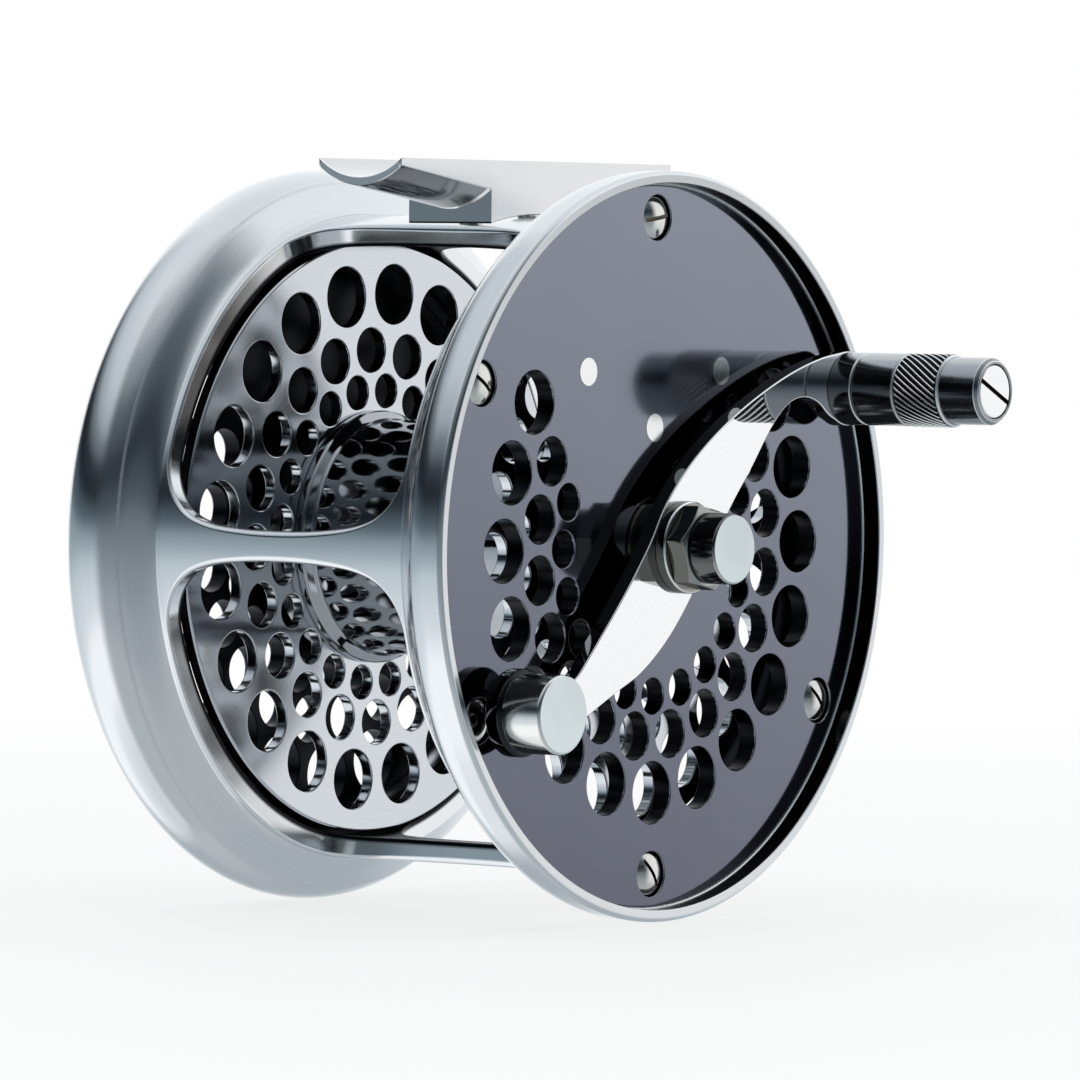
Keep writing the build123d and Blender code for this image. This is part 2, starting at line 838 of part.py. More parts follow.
def handle_arm():
    arm_t = arm_front - arm_back
    with BuildPart() as arm:
        with BuildSketch(across(arm_back)):
            with BuildLine():
                Spline(*arm_upper)
                Line(arm_upper[-1], arm_lower[0])
                Spline(*arm_lower)
                Line(arm_lower[-1], arm_upper[0])
            make_face()
            with Locations(weight_centre):
                Circle(5.78)
            with Locations(grip_centre):
                Circle(5.08)
        extrude(amount=arm_t)
        # double-flatted hole on the spindle
        with BuildSketch(across(arm_back)):
            Circle(r_running)
            with Locations((0, flat_offset + slip), (0, -flat_offset - slip)):
                Rectangle(flat_w, flat_h, mode=Mode.SUBTRACT)
        extrude(amount=arm_t, mode=Mode.SUBTRACT)
        bars(arm_back, arm_front, 2.4, [grip_centre], Mode.SUBTRACT)
        bars(arm_back, arm_front, 1.6, [weight_centre], Mode.SUBTRACT)
        cones(arm_back, arm_back + 1.35, 2.95, 1.6, [weight_centre], Mode.SUBTRACT)
    return arm.part


def hub_collar():
    with BuildPart() as collar:
        tube(arm_front + gap, collar_front, outer=6.15, inner=r_spindle_nose + 0.05)
        fillet(
            circles(collar, lambda e: e.radius > 6 and e.center().X > collar_front - 0.1),
            0.25,
        )
    return collar.part


def handle_nut():
    back = collar_front + gap
    # solid of revolution that bevels the hexagon's front corners
    bevel_outline = [
        (x_face + 3.4, 0), (x_face + 3.4, 7.5), (x_face + 4.98, 7.5),
        (nut_front, 5.0), (nut_front, 0),
    ]
    with BuildPart() as nut:
        with BuildSketch(across(back)):
            RegularPolygon(radius=6.0, side_count=6, rotation=22)
            punch(r_spindle_nose + slip, CENTRE)
        extrude(amount=nut_front - back)
        turned(bevel_outline, mode=Mode.INTERSECT)
    return nut.part


def hub_cap():
    with BuildPart() as cap:
        bars(cap_back, x_face + 10.47, radius=4.72)
        fillet(front_edges(cap), 0.3)
        bars(cap_back, x_face + 9.3, radius=r_spindle_nose + slip, mode=Mode.SUBTRACT)
    return cap.part


def counterweight():
    with BuildPart() as weight:
        bars(arm_front + gap, x_face + 8.05, r_weight, [weight_centre])
        fillet(front_edges(weight), 0.35)
        bars(arm_front, x_face + 6.0, 1.5, [weight_centre], Mode.SUBTRACT)
    return weight.part


def counterweight_screw():
    points = [weight_centre]
    with BuildPart() as screw:
        bars(arm_back + 0.5, x_face + 5.6, 1.45, points)
        cones(arm_back + 0.03, arm_back + 1.33, 2.78, 1.48, points)
        blocks(arm_back, arm_back + 0.7, width=0.6, height=7, points=points, angle=20)
    return screw.part


def grip_post():
    post_end = x_face + 24.3
    with BuildPart() as post:
        bars(arm_back + 0.02, arm_front, 2.37, [grip_centre])
        bars(arm_front - 0.02, post_end, r_grip_post, [grip_centre])
        bars(x_face + 17.5, post_end, 1.05, [grip_centre], Mode.SUBTRACT)
    return post.part


def grip_ferrule():
    with BuildPart() as ferrule:
        bars(arm_front + gap, x_face + 5.6, r_grip, [grip_centre])
        fillet(front_edges(ferrule), 0.2)
        bars(arm_front, x_face + 6.0, r_grip_post + slip, [grip_centre], Mode.SUBTRACT)
    return ferrule.part


def grip_barrel():
    r_inside = 3.02
    r_groove = 4.78
    r_front = 4.55      # slimmer front part
    r_recess = 3.72     # recess round the end screw's head
    groove_back, groove_front = x_face + 12.4, x_face + 12.65
    recess_x = x_face + 24.5
    with BuildPart() as barrel:
        turned(
            [
                (grip_back, r_inside), (grip_back, 4.75), (grip_back + 0.2, r_grip),
                (groove_back, r_grip), (groove_back, r_groove),
                (groove_front, r_groove), (groove_front, r_grip),
                (x_face + 19.7, r_grip), (x_face + 19.95, r_front),
                (x_face + 25.55, r_front), (grip_end, 3.95), (grip_end, r_recess),
                (recess_x, r_recess), (recess_x, r_inside),
            ],
            at=grip_centre,
        )
    return barrel.part


def grip_bush():
    back = x_face + 5.75
    with BuildPart() as bush:
        tube(back, back + 18.5, outer=3.0, inner=r_grip_post + slip, at=grip_centre)
    return bush.part


def grip_end_screw():
    points = [grip_centre]
    with BuildPart() as screw:
        bars(x_face + 18.2, x_face + 24.4, 1.0, points)
        bars(x_face + 24.55, grip_end - 0.12, 3.6, points)
        bars(x_face + 24.32, x_face + 24.6, 2.0, points)
        fillet(front_edges(screw), 0.18)
        blocks(grip_end + 0.5, grip_end - 0.85, width=9, height=0.62, points=points, angle=-26)
    return screw.part


# ---------------------------------------------------------------------------
# Each piece is saved under the name of the function that builds it
# ---------------------------------------------------------------------------
pieces = [
    cage_frame, reel_foot, foot_screws,
    front_side_plate, front_plate_screws,
    click_pivot_post, click_spring_post, click_stop_posts, front_bearing_bush,
    click_lever, click_spring, click_wheel, click_wheel_screws,
    spool_arbor, spool_front_flange, spool_rear_flange,
    spool_front_screws, spool_rear_screws, spindle, spool_key, hub_spacer,
    rear_side_plate, rear_plate_screws, rear_bearing_bush,
    spindle_end_washer, spindle_end_screw,
    drag_friction_disc, drag_pressure_plate, drag_key_pins, drag_spring_washer,
    drag_follower_ring, drag_push_pins, drag_thrust_washer, drag_knob,
    handle_arm, hub_collar, handle_nut, hub_cap, counterweight, counterweight_screw,
    grip_post, grip_ferrule, grip_barrel, grip_bush, grip_end_screw,
]
for build in pieces:
    solid = build()
    solid.label = build.__name__
    export_step(solid, f"parts/{build.__name__}.step")
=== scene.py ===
# A fly reel that stands on its rim with the foot on top. The spindle runs along X; the handle
# is on the +X side. The foot lies along Y with its hollow top near z = 0. Shapes are drawn in
# millimetres as (x, y, z) from the spindle line, and become metres when they are built.
import math
from functools import cached_property

import bmesh
import bpy
import numpy as np
from mathutils import Matrix, Vector
from mathutils.geometry import delaunay_2d_cdt


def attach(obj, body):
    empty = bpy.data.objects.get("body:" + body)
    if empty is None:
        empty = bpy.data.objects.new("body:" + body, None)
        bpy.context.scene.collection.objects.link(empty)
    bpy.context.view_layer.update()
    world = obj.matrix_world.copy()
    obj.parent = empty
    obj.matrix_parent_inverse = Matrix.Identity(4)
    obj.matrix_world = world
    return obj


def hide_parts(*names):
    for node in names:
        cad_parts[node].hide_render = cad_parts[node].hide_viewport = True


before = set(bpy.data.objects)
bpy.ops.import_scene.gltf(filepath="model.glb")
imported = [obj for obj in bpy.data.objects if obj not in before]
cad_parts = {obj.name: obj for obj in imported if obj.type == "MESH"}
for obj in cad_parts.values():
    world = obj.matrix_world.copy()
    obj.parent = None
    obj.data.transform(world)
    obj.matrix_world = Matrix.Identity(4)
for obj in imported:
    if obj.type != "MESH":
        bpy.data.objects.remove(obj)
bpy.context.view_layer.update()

# ---------------------------------------------------------------------------
# Shared sizes, in millimetres. Names for places along X hold absolute x.
# ---------------------------------------------------------------------------
SPINDLE_Z = -48.7                  # height of the spindle line in the frame
FACE = 29.6                        # front face of the cage
PLATE_FRONT = FACE - 2.74          # front plate
PLATE_BACK = PLATE_FRONT - 2.80
REAR_FACE = FACE - 61.0            # rear plate, outer face
REAR_SEAT = FACE - 58.2            # where the rear plate meets the cage
ARM_BACK = FACE - 0.35             # handle arm
ARM_FRONT = FACE + 1.95
ARM_SEAT = ARM_FRONT + 0.02        # back of the pieces that stand on the arm
GRIP = (37.74, 20.88)              # (y, z) of the grip's axis
WEIGHT = (-34.0, -20.84)           # (y, z) of the counterweight's axis
MM = 0.001                         # metres in a millimetre
WELD = 2e-4                        # points in the same cell of this size become one


# ---------------------------------------------------------------------------
# Mesh helpers. A shape is (points, normals, faces). A profile is a list of
# (point, normal) in (x, radius), run anticlockwise with normals to its right.
# ---------------------------------------------------------------------------
def polar(radius, degrees):
    return (radius * math.cos(math.radians(degrees)), radius * math.sin(math.radians(degrees)))


def unit_rows(rows):
    return rows / np.maximum(np.linalg.norm(rows, axis=1, keepdims=True), 1e-9)


def place(name, mesh, body=None, replaces=None):
    made = bpy.data.objects.new(name, mesh)
    bpy.context.scene.collection.objects.link(made)
    if body:
        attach(made, body)
    if replaces:
        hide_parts(replaces)
    return made


def smooth(mesh):
    mesh.polygons.foreach_set("use_smooth", [True] * len(mesh.polygons))


def build(name, shape, body, material, replaces=None, slot=None):
    """Weld a shape into an object that keeps the shape's own normals."""
    points, normals, faces = shape
    points = np.asarray(points, float)
    cells = np.round(points / WELD).astype(np.int64)
    _, first, inverse = np.unique(cells, axis=0, return_index=True, return_inverse=True)
    inverse = inverse.reshape(-1)
    summed = np.zeros((len(first), 3))
    np.add.at(summed, inverse, np.asarray(normals, float))
    points = points[first]
    kept = []
    for face in faces:
        ids = [int(inverse[i]) for i in face]
        ids = [ids[k] for k in range(len(ids)) if ids[k] != ids[k - 1]]
        if len(ids) >= 3 and len(set(ids)) == len(ids):
            kept.append(ids)
    points[:, 2] += SPINDLE_Z
    points *= MM
    mesh = bpy.data.meshes.new(name)
    mesh.from_pydata(points.tolist(), [], kept)
    mesh.validate()
    mesh.update()
    smooth(mesh)
    mesh.normals_split_custom_set_from_vertices(unit_rows(summed).tolist())
    made = place(name, mesh, body, replaces)
    mesh.materials.append(material)
    return made


def merge(*shapes):
    points, normals, faces = [], [], []
    for more_points, more_normals, more_faces in shapes:
        base = len(points)
        points += list(more_points)
        normals += list(more_normals)
        faces += [[i + base for i in face] for face in more_faces]
    return points, normals, faces


def round_corner(point, before, after, radius, steps):
    """Profile stations that round one corner, with the radius cut down to the room there is."""
    point, before, after = (np.array(p, float) for p in (point, before, after))
    length_in, length_out = np.linalg.norm(point - before), np.linalg.norm(after - point)
    way_in = (point - before) / length_in
    way_out = (after - point) / length_out
    side_in = np.array([way_in[1], -way_in[0]])
    side_out = np.array([way_out[1], -way_out[0]])
    cross = way_in[0] * way_out[1] - way_in[1] * way_out[0]
    turn = math.acos(max(-1.0, min(1.0, float(way_in @ way_out))))
    if turn < 0.02 or radius <= 0:
        normal = side_in + side_out
        return [(point, normal / np.linalg.norm(normal))]
    cut = radius * math.tan(turn / 2)
    room = 0.49 * min(length_in, length_out)
    if cut > room:
        radius *= room / cut
        cut = room
    sign = 1.0 if cross > 0 else -1.0
    centre = point - way_in * cut - sign * side_in * radius
    stations = []
    for k in range(steps + 1):
        angle = turn * k / steps
        cos, sin = math.cos(angle), math.sin(angle)
        normal = np.array([side_in[0] * cos - sign * side_in[1] * sin,
                           side_in[0] * sin * sign + side_in[1] * cos])
        stations.append((centre + sign * normal * radius, normal))
    return stations


def rounded(points, radii, closed=True, steps=5):
    """Profile through (x, radius) points with one corner radius for each."""
    count = len(points)
    profile = []
    for i, point in enumerate(points):
        if not closed and i in (0, count - 1):
            start, end = points[:2] if i == 0 else points[-2:]
            along = np.array(end, float) - np.array(start, float)
            along /= np.linalg.norm(along)
            profile.append((np.array(point, float), np.array([along[1], -along[0]])))
        else:
            profile += round_corner(point, points[i - 1], points[(i + 1) % count],
                                    radii[i], steps)
    return profile


def revolve(profile, centre=(0.0, 0.0), segments=192, closed=True):
    """Turn a profile about the X line through centre. Points with no radius become poles."""
    points, normals, rows = [], [], []
    for (x, radius), (out_x, out_r) in profile:
        if radius < 1e-6:
            rows.append([len(points)] * segments)
            points.append((x, centre[0], centre[1]))
            normals.append((math.copysign(1.0, out_x) if abs(out_x) > 1e-6 else 1.0, 0, 0))
            continue
        rows.append(range(len(points), len(points) + segments))
        for j in range(segments):
            angle = 2 * math.pi * j / segments
            cos, sin = math.cos(angle), math.sin(angle)
            points.append((x, centre[0] + radius * cos, centre[1] + radius * sin))
            normals.append((out_x, out_r * cos, out_r * sin))
    faces = []
    for i in range(len(rows) if closed else len(rows) - 1):
        here, there = rows[i], rows[(i + 1) % len(rows)]
        for j in range(segments):
            k = (j + 1) % segments
            quad = [here[j], there[j], there[k], here[k]]
            quad = [q for t, q in enumerate(quad) if q not in quad[:t]]
            if len(quad) >= 3:
                faces.append(quad)
    return points, normals, faces


def lathe(name, points, radii, body, material, centre=(0.0, 0.0), segments=192, closed=True,
          steps=5, **labels):
    shape = revolve(rounded(points, radii, closed, steps), centre, segments, closed)
    return build(name, shape, body, material, **labels)


def circle_loop(centre, radius, top, low, count, hole=False):
    """Slab loop: outline, outward normals, and edge roundings at the top and low faces."""
    angles = [2 * math.pi * k / count for k in range(count)]
    if hole:
        angles = angles[::-1]
    out = np.array([(math.cos(a), math.sin(a)) for a in angles])
    points = np.array([(centre[0] + radius * math.cos(a), centre[1] + radius * math.sin(a))
                       for a in angles])
    return dict(points=points, normals=-out if hole else out, top=top, low=low)


def disc_loop(radius, top, low):
    return circle_loop((0, 0), radius, top, low, 288)


def hole_loop(centre, radius, top, low, count=64):
    return circle_loop(centre, radius, top, low, count, hole=True)


def loop_normals(points):
    """Normals to the right of a closed outline, averaged at each point."""
    ahead = np.roll(points, -1, 0) - points
    behind = points - np.roll(points, 1, 0)
    ahead /= np.linalg.norm(ahead, axis=1, keepdims=True)
    behind /= np.linalg.norm(behind, axis=1, keepdims=True)
    along = behind + ahead
    along /= np.linalg.norm(along, axis=1, keepdims=True)
    return np.stack([along[:, 1], -along[:, 0]], 1)


def soften(loop, passes):
    for _ in range(passes):
        loop = 0.25 * np.roll(loop, 1, 0) + 0.5 * loop + 0.25 * np.roll(loop, -1, 0)
    return loop


def inside(outline, spots):
    """Even-odd test of spots against one closed outline."""
    x, y = spots[:, 0], spots[:, 1]
    hit = np.zeros(len(spots), bool)
    for (x1, y1), (x2, y2) in zip(outline, np.roll(outline, -1, 0)):
        if y1 != y2:
            hit ^= ((y1 > y) != (y2 > y)) & (x < (x2 - x1) * (y - y1) / (y2 - y1) + x1)
    return hit


def triangulate(loops, extra):
    """Triangles between loops[0] and the holes, numbered over loops and extra in a row."""
    points, edges = [], []
    for loop in loops:
        base, count = len(points), len(loop)
        points += [Vector(p) for p in loop]
        edges += [(base + i, base + (i + 1) % count) for i in range(count)]
    points += [Vector(p) for p in extra]
    found, _, cells, origins, _, _ = delaunay_2d_cdt(points, edges, [], 0, 1e-7, True)
    spots = np.array([(p.x, p.y) for p in found])
    triangles = np.array([cell for cell in cells if len(cell) == 3], int)
    centres = spots[triangles].mean(1)
    keep = inside(loops[0], centres)
    for loop in loops[1:]:
        keep &= ~inside(loop, centres)
    sources = np.array([origin[0] if origin else -1 for origin in origins])
    triangles = sources[triangles[keep]]
    triangles = triangles[(triangles >= 0).all(1)]
    spots = np.array([(p.x, p.y) for p in points])
    first, second, third = (spots[triangles[:, i]] for i in range(3))
    area = ((second[:, 0] - first[:, 0]) * (third[:, 1] - first[:, 1])
            - (second[:, 1] - first[:, 1]) * (third[:, 0] - first[:, 0]))
    flip = area < 0
    triangles[flip] = triangles[flip][:, ::-1]
    return triangles[np.abs(area) > 1e-12]


def flat_map(across, up, height, out_across, out_up, out_height):
    """A sheet that stands square to the spindle."""
    return (height, across, up), (out_height, out_across, out_up)


def slab(loops, low, high, mapping=flat_map, extra=(), steps=4):
    """A sheet between two heights with rounded edges. loops[0] is the outside; a loop
    without normals gets no wall. extra adds points inside both faces."""
    points, normals, faces = [], [], []
    levels = ((1, high, "top"), (-1, low, "low"))
    rims = {1: [], -1: []}

    def put(spot, height, out=(0, 0), out_height=0):
        point, normal = mapping(*spot, height, *out, out_height)
        points.append(point)
        normals.append(normal)
        return len(points) - 1

    for loop in loops:
        outline, layers = loop["points"], []
        for sign, height, edge in levels:
            if "normals" not in loop:
                ids = [put(p, height, out_height=sign) for p in outline]
                rims[sign].append((outline, ids))
                continue
            outward = loop["normals"]
            bevels = np.broadcast_to(np.asarray(loop[edge], float), (len(outline),))
            for s in range(steps + 1):
                tilt = math.pi / 2 * s / steps if sign > 0 else math.pi / 2 * (1 - s / steps)
                cos, sin = math.cos(tilt), math.sin(tilt)
                layers.append([put(p - out * bevel * (1 - sin), height - sign * bevel * (1 - cos),
                                   out * sin, sign * cos)
                               for p, out, bevel in zip(outline, outward, bevels)])
            rims[sign].append((outline - outward * bevels[:, None],
                               layers[0] if sign > 0 else layers[-1]))
        for here, there in zip(layers[:-1], layers[1:]):
            for i in range(len(here)):
                j = (i + 1) % len(here)
                faces.append([here[i], there[i], there[j], here[j]])
    for sign, height, _ in levels:
        ids = [i for _, row in rims[sign] for i in row]
        ids += [put(p, height, out_height=sign) for p in extra]
        for triangle in triangulate([outline for outline, _ in rims[sign]], extra):
            face = [ids[int(i)] for i in triangle]
            faces.append(face if sign > 0 else face[::-1])
    return points, normals, faces


def hermite(share, span, start, leave, end, arrive):
    """Point on a cubic between two ends with tangents leave and arrive."""
    return ((2 * share ** 3 - 3 * share ** 2 + 1) * start
            + (share ** 3 - 2 * share ** 2 + share) * span * leave
            + (-2 * share ** 3 + 3 * share ** 2) * end
            + (share ** 3 - share ** 2) * span * arrive)


def spline(points, end_tangents=None, per=9):
    """Smooth curve through points: Catmull-Rom on square roots of the chords."""
    knots = np.array(points, float)
    chords = np.sqrt(np.linalg.norm(np.diff(knots, axis=0), axis=1))
    times = np.concatenate([[0], np.cumsum(chords)])
    gaps = np.diff(times)[:, None]
    slopes = np.diff(knots, axis=0) / gaps
    tangents = np.zeros_like(knots)
    tangents[1:-1] = ((slopes[1:] * gaps[:-1] + slopes[:-1] * gaps[1:])
                      / (times[2:] - times[:-2])[:, None])
    tangents[0], tangents[-1] = slopes[0], slopes[-1]
    if end_tangents is not None:
        for i, tangent in zip((0, -1), end_tangents):
            tangents[i] = np.array(tangent, float) * np.linalg.norm(tangents[i])
    curve = [hermite(k / per, gaps[i, 0], knots[i], tangents[i], knots[i + 1], tangents[i + 1])
             for i in range(len(knots) - 1) for k in range(per)]
    return np.array(curve + [knots[-1]])


def resample(points, step):
    """Even spacing along an open polyline, ends kept."""
    lengths = np.linalg.norm(np.diff(points, axis=0), axis=1)
    travelled = np.concatenate([[0], np.cumsum(lengths)])
    count = max(2, int(round(travelled[-1] / step)) + 1)
    stops = np.linspace(0, travelled[-1], count)
    return np.stack([np.interp(stops, travelled, points[:, i]) for i in range(2)], 1)


# ---------------------------------------------------------------------------
# Shader graphs
# ---------------------------------------------------------------------------
class Graph:
    """Node tree of a material or world. Positions are in millimetres from centre (y, z)."""

    def __init__(self, owner, centre=(0.0, 0.0)):
        owner.use_nodes = True
        self.owner = owner
        self.tree = owner.node_tree
        self.centre = centre

    def feed(self, node, inputs):
        """Link sockets and set plain values; a colour of three numbers gets alpha 1."""
        for key, value in inputs.items():
            socket = node.inputs[key]
            if isinstance(value, bpy.types.NodeSocket):
                self.tree.links.new(value, socket)
            elif socket.type == "RGBA":
                socket.default_value = (*value, 1)
            else:
                socket.default_value = value

    def node(self, kind, inputs={}, **settings):
        made = self.tree.nodes.new("ShaderNode" + kind)
        for key, value in settings.items():
            setattr(made, key, value)
        self.feed(made, inputs)
        return made

    def surface(self, inputs):
        self.feed(self.tree.nodes["Principled BSDF"], inputs)

    def split(self, vector):
        return self.node("SeparateXYZ", {0: vector}).outputs

    def length(self, vector):
        return self.node("VectorMath", {0: vector}, operation="LENGTH").outputs["Value"]

    @cached_property
    def position(self):
        place_in_object = self.node("TexCoord").outputs["Object"]
        origin = (0, self.centre[0] * MM, (SPINDLE_Z + self.centre[1]) * MM)
        moved = self.node("VectorMath", {0: place_in_object, 1: origin}, operation="SUBTRACT")
        return self.node("VectorMath", {0: moved.outputs[0], "Scale": 1000.0},
                         operation="SCALE").outputs[0]

    @cached_property
    def axes(self):
        return self.split(self.position)

    @property
    def x(self):
        return self.axes[0]

    @cached_property
    def radius(self):
        flat = self.node("CombineXYZ", {1: self.axes[1], 2: self.axes[2]})
        return self.length(flat.outputs[0])

    @cached_property
    def angle(self):
        return self.calc("ARCTAN2", self.axes[2], self.axes[1])

    def calc(self, operation, *values):
        return self.node("Math", dict(enumerate(values)), operation=operation).outputs[0]

    def noise(self, vector, scale, detail=2.0, rough=0.5):
        return self.node("TexNoise", {"Vector": vector, "Scale": scale, "Detail": detail,
                                      "Roughness": rough}).outputs["Fac"]

    def ramp(self, value, start, end, low=0.0, high=1.0, **settings):
        """Goes from low to high as value goes from start to end."""
        return self.node("MapRange", {0: value, 1: start, 2: end, 3: low, 4: high},
                         **settings).outputs[0]

    def fall(self, value, start, end):
        return self.ramp(value, start, end, low=1.0, high=0.0)

    def both(self, *masks):
        product = masks[0]
        for mask in masks[1:]:
            product = self.calc("MULTIPLY", product, mask)
        return product

    def blend(self, share, under, over):
        return self.node("Mix", {0: share, 6: under, 7: over}, data_type="RGBA").outputs[2]

    def colour_ramp(self, value, stops, interpolation="LINEAR"):
        """stops: (position, red, green, blue)."""
        made = self.node("ValToRGB", {0: value})
        band = made.color_ramp
        band.interpolation = interpolation
        while len(band.elements) < len(stops):
            band.elements.new(0.5)
        for element, (position, *colour) in zip(band.elements, stops):
            element.position = position
            element.color = (*colour, 1)
        return made.outputs[0]

    def bump(self, height, strength, distance):
        return self.node("Bump", {"Strength": strength, "Distance": distance,
                                  "Height": height}).outputs[0]

    def mirrored(self):
        """1 where the surface is only seen by reflection in another one."""
        return self.node("LightPath").outputs["Is Glossy Ray"]

    def facing(self, axis):
        """The surface normal's component along x, y or z."""
        normal = self.node("NewGeometry").outputs["Normal"]
        return self.split(normal)["xyz".index(axis)]


# painted shade: near black for shaded gaps and darkened reflections, and a deeper black for bores,
# holes and the plates' shaded sides
SHADE_BLACK = (0.02, 0.021, 0.024)
BORE_SHADE_BLACK = (0.012, 0.013, 0.016)
BRUSHED = (0.72, 9.0, 9.0)         # grain per millimetre along x, y, z
# the painted shade on the recess wall starts between these two heights
HOLE_TOP = PLATE_FRONT + 0.19      # where the recess wall starts to darken
HOLE_END = PLATE_FRONT + 0.23


def metal(name, colour, rough, centre=(0.0, 0.0), line=0.12, haze=0.03, freq=9.0,
          brushed=None, tint=None, polish=None):
    """Metal with fine lines and polish haze. The lines are turned about centre at freq per
    millimetre, or brushed. tint and polish rework the colour and roughness."""
    mat = Graph(bpy.data.materials.new(name), centre)
    broad = mat.noise(mat.position, scale=0.11, detail=3.0, rough=0.55)
    fine = mat.noise(mat.position, scale=1.7)
    if brushed:
        sources, rates = mat.split(mat.position), brushed
    else:
        sources, rates = (mat.x, mat.radius, mat.angle), (freq, freq, 0.9)
    grain = mat.node("CombineXYZ", {i: mat.calc("MULTIPLY", sources[i], rates[i])
                                    for i in range(3)})
    lines = mat.noise(grain.outputs[0], scale=1.0, detail=3.0, rough=0.6)
    roughness = mat.calc("ADD", mat.ramp(broad, 0.3, 0.7, low=rough - haze, high=rough + haze),
                         mat.ramp(lines, 0.3, 0.7, low=-haze * 0.6, high=haze * 0.6))
    roughness = mat.calc("ADD", roughness,
                         mat.ramp(fine, 0.35, 0.65, low=-haze * 0.25, high=haze * 0.25))
    roughness = mat.calc("MAXIMUM", roughness, 0.015)
    if polish:
        roughness = polish(mat, roughness)
    in_lines = tuple(c * 0.94 for c in colour)
    base = mat.blend(mat.ramp(lines, 0.3, 0.7), in_lines, colour)
    if tint:
        base = tint(mat, base)
    mat.surface({"Base Color": base, "Roughness": roughness, "Metallic": 1.0,
                 "Normal": mat.bump(lines, strength=line, distance=0.000004)})
    return mat.owner


def plate_material(name, face_x, sign, edge_radius):
    """Gloss black with painted light and shade: lighter towards the foot, deeper in the holes and
    where seen by reflection; sign is the way it faces.
    """
    lit_black_near_foot, shaded_black_below = (0.240, 0.256, 0.306), (0.125, 0.132, 0.168)
    rim_highlight_grey, edge_highlight_white = (0.50, 0.54, 0.58), (0.80, 0.84, 0.86)
    mat = Graph(bpy.data.materials.new(name))
    _, y, z = mat.split(mat.position)
    broad = mat.noise(mat.position, scale=0.06)
    # painted light: lighter towards the foot and the +y side, with a random mottle
    light_and_mottle = mat.calc("ADD", mat.ramp(z, -46.0, 46.0, high=0.86),
                    mat.ramp(y, -46.0, 46.0, low=-0.10, high=0.14))
    light_and_mottle = mat.calc("ADD", light_and_mottle, mat.ramp(broad, 0.3, 0.7, low=-0.03, high=0.03))
    depth = mat.calc("MULTIPLY", mat.x, sign)
    outer = mat.ramp(depth, sign * face_x - 0.24, sign * face_x - 0.17)
    # painted highlight on the rounded rims of the holes, just under the face
    rim = mat.both(outer, mat.fall(depth, sign * face_x - 0.10, sign * face_x - 0.03))
    # painted shade: near black below the face, in the holes and on the back, and wherever the plate
    # is seen by reflection
    direct = mat.calc("SUBTRACT", 1.0, mat.calc("MULTIPLY", mat.mirrored(), 0.95))
    base = mat.blend(mat.calc("MULTIPLY", outer, direct), BORE_SHADE_BLACK,
                     mat.blend(light_and_mottle, shaded_black_below, lit_black_near_foot))
    base = mat.blend(mat.calc("MULTIPLY", rim, 0.8), base, rim_highlight_grey)
    # painted highlight: the turned edge of the disc is made bright, white and not metallic
    edge = mat.ramp(mat.radius, edge_radius - 0.06, edge_radius + 0.02)
    fine = mat.noise(mat.position, scale=2.2, detail=3.0, rough=0.6)
    gloss = mat.ramp(fine, 0.3, 0.75, low=0.072, high=0.095)
    in_hole = mat.ramp(outer, 0.0, 1.0, low=0.20, high=0.0)
    speck = mat.noise(mat.position, scale=9.0)
    mat.surface({"Base Color": mat.blend(edge, base, edge_highlight_white),
                 "Metallic": mat.calc("SUBTRACT", 1.0, edge),
                 "Roughness": mat.calc("ADD", gloss, in_hole),
                 "Normal": mat.bump(speck, strength=0.02, distance=0.000002)})
    return mat.owner


def cork_material():
    mat = Graph(bpy.data.materials.new("drag_cork"))
    grain = mat.noise(mat.position, scale=1.6, detail=6.0, rough=0.65)
    browns = [(0.35, 0.13, 0.07, 0.035), (0.62, 0.46, 0.29, 0.16)]
    mat.surface({"Base Color": mat.colour_ramp(grain, browns), "Roughness": 0.8,
                 "Normal": mat.bump(grain, strength=0.6, distance=0.0002)})
    return mat.owner


# Tints rework a metal's colour, mostly with painted light and shade, and polishes its roughness, by
# place and by the way it faces.
# Limits are millimetres for x, radius, y and z, and run from -1 to 1 for facing.
def paint_reflected_shade(mat, colour, share=0.75):
    """Painted shade: darken the piece where it is seen by reflection."""
    return mat.blend(mat.calc("MULTIPLY", mat.mirrored(), share), colour, SHADE_BLACK)


def fillet_highlight_band(mat):
    """Band of the painted highlight on the small fillet between the front plate and the recess wall.
    """
    return mat.ramp(mat.radius, 48.05, 48.10), mat.fall(mat.radius, 48.35, 48.40)


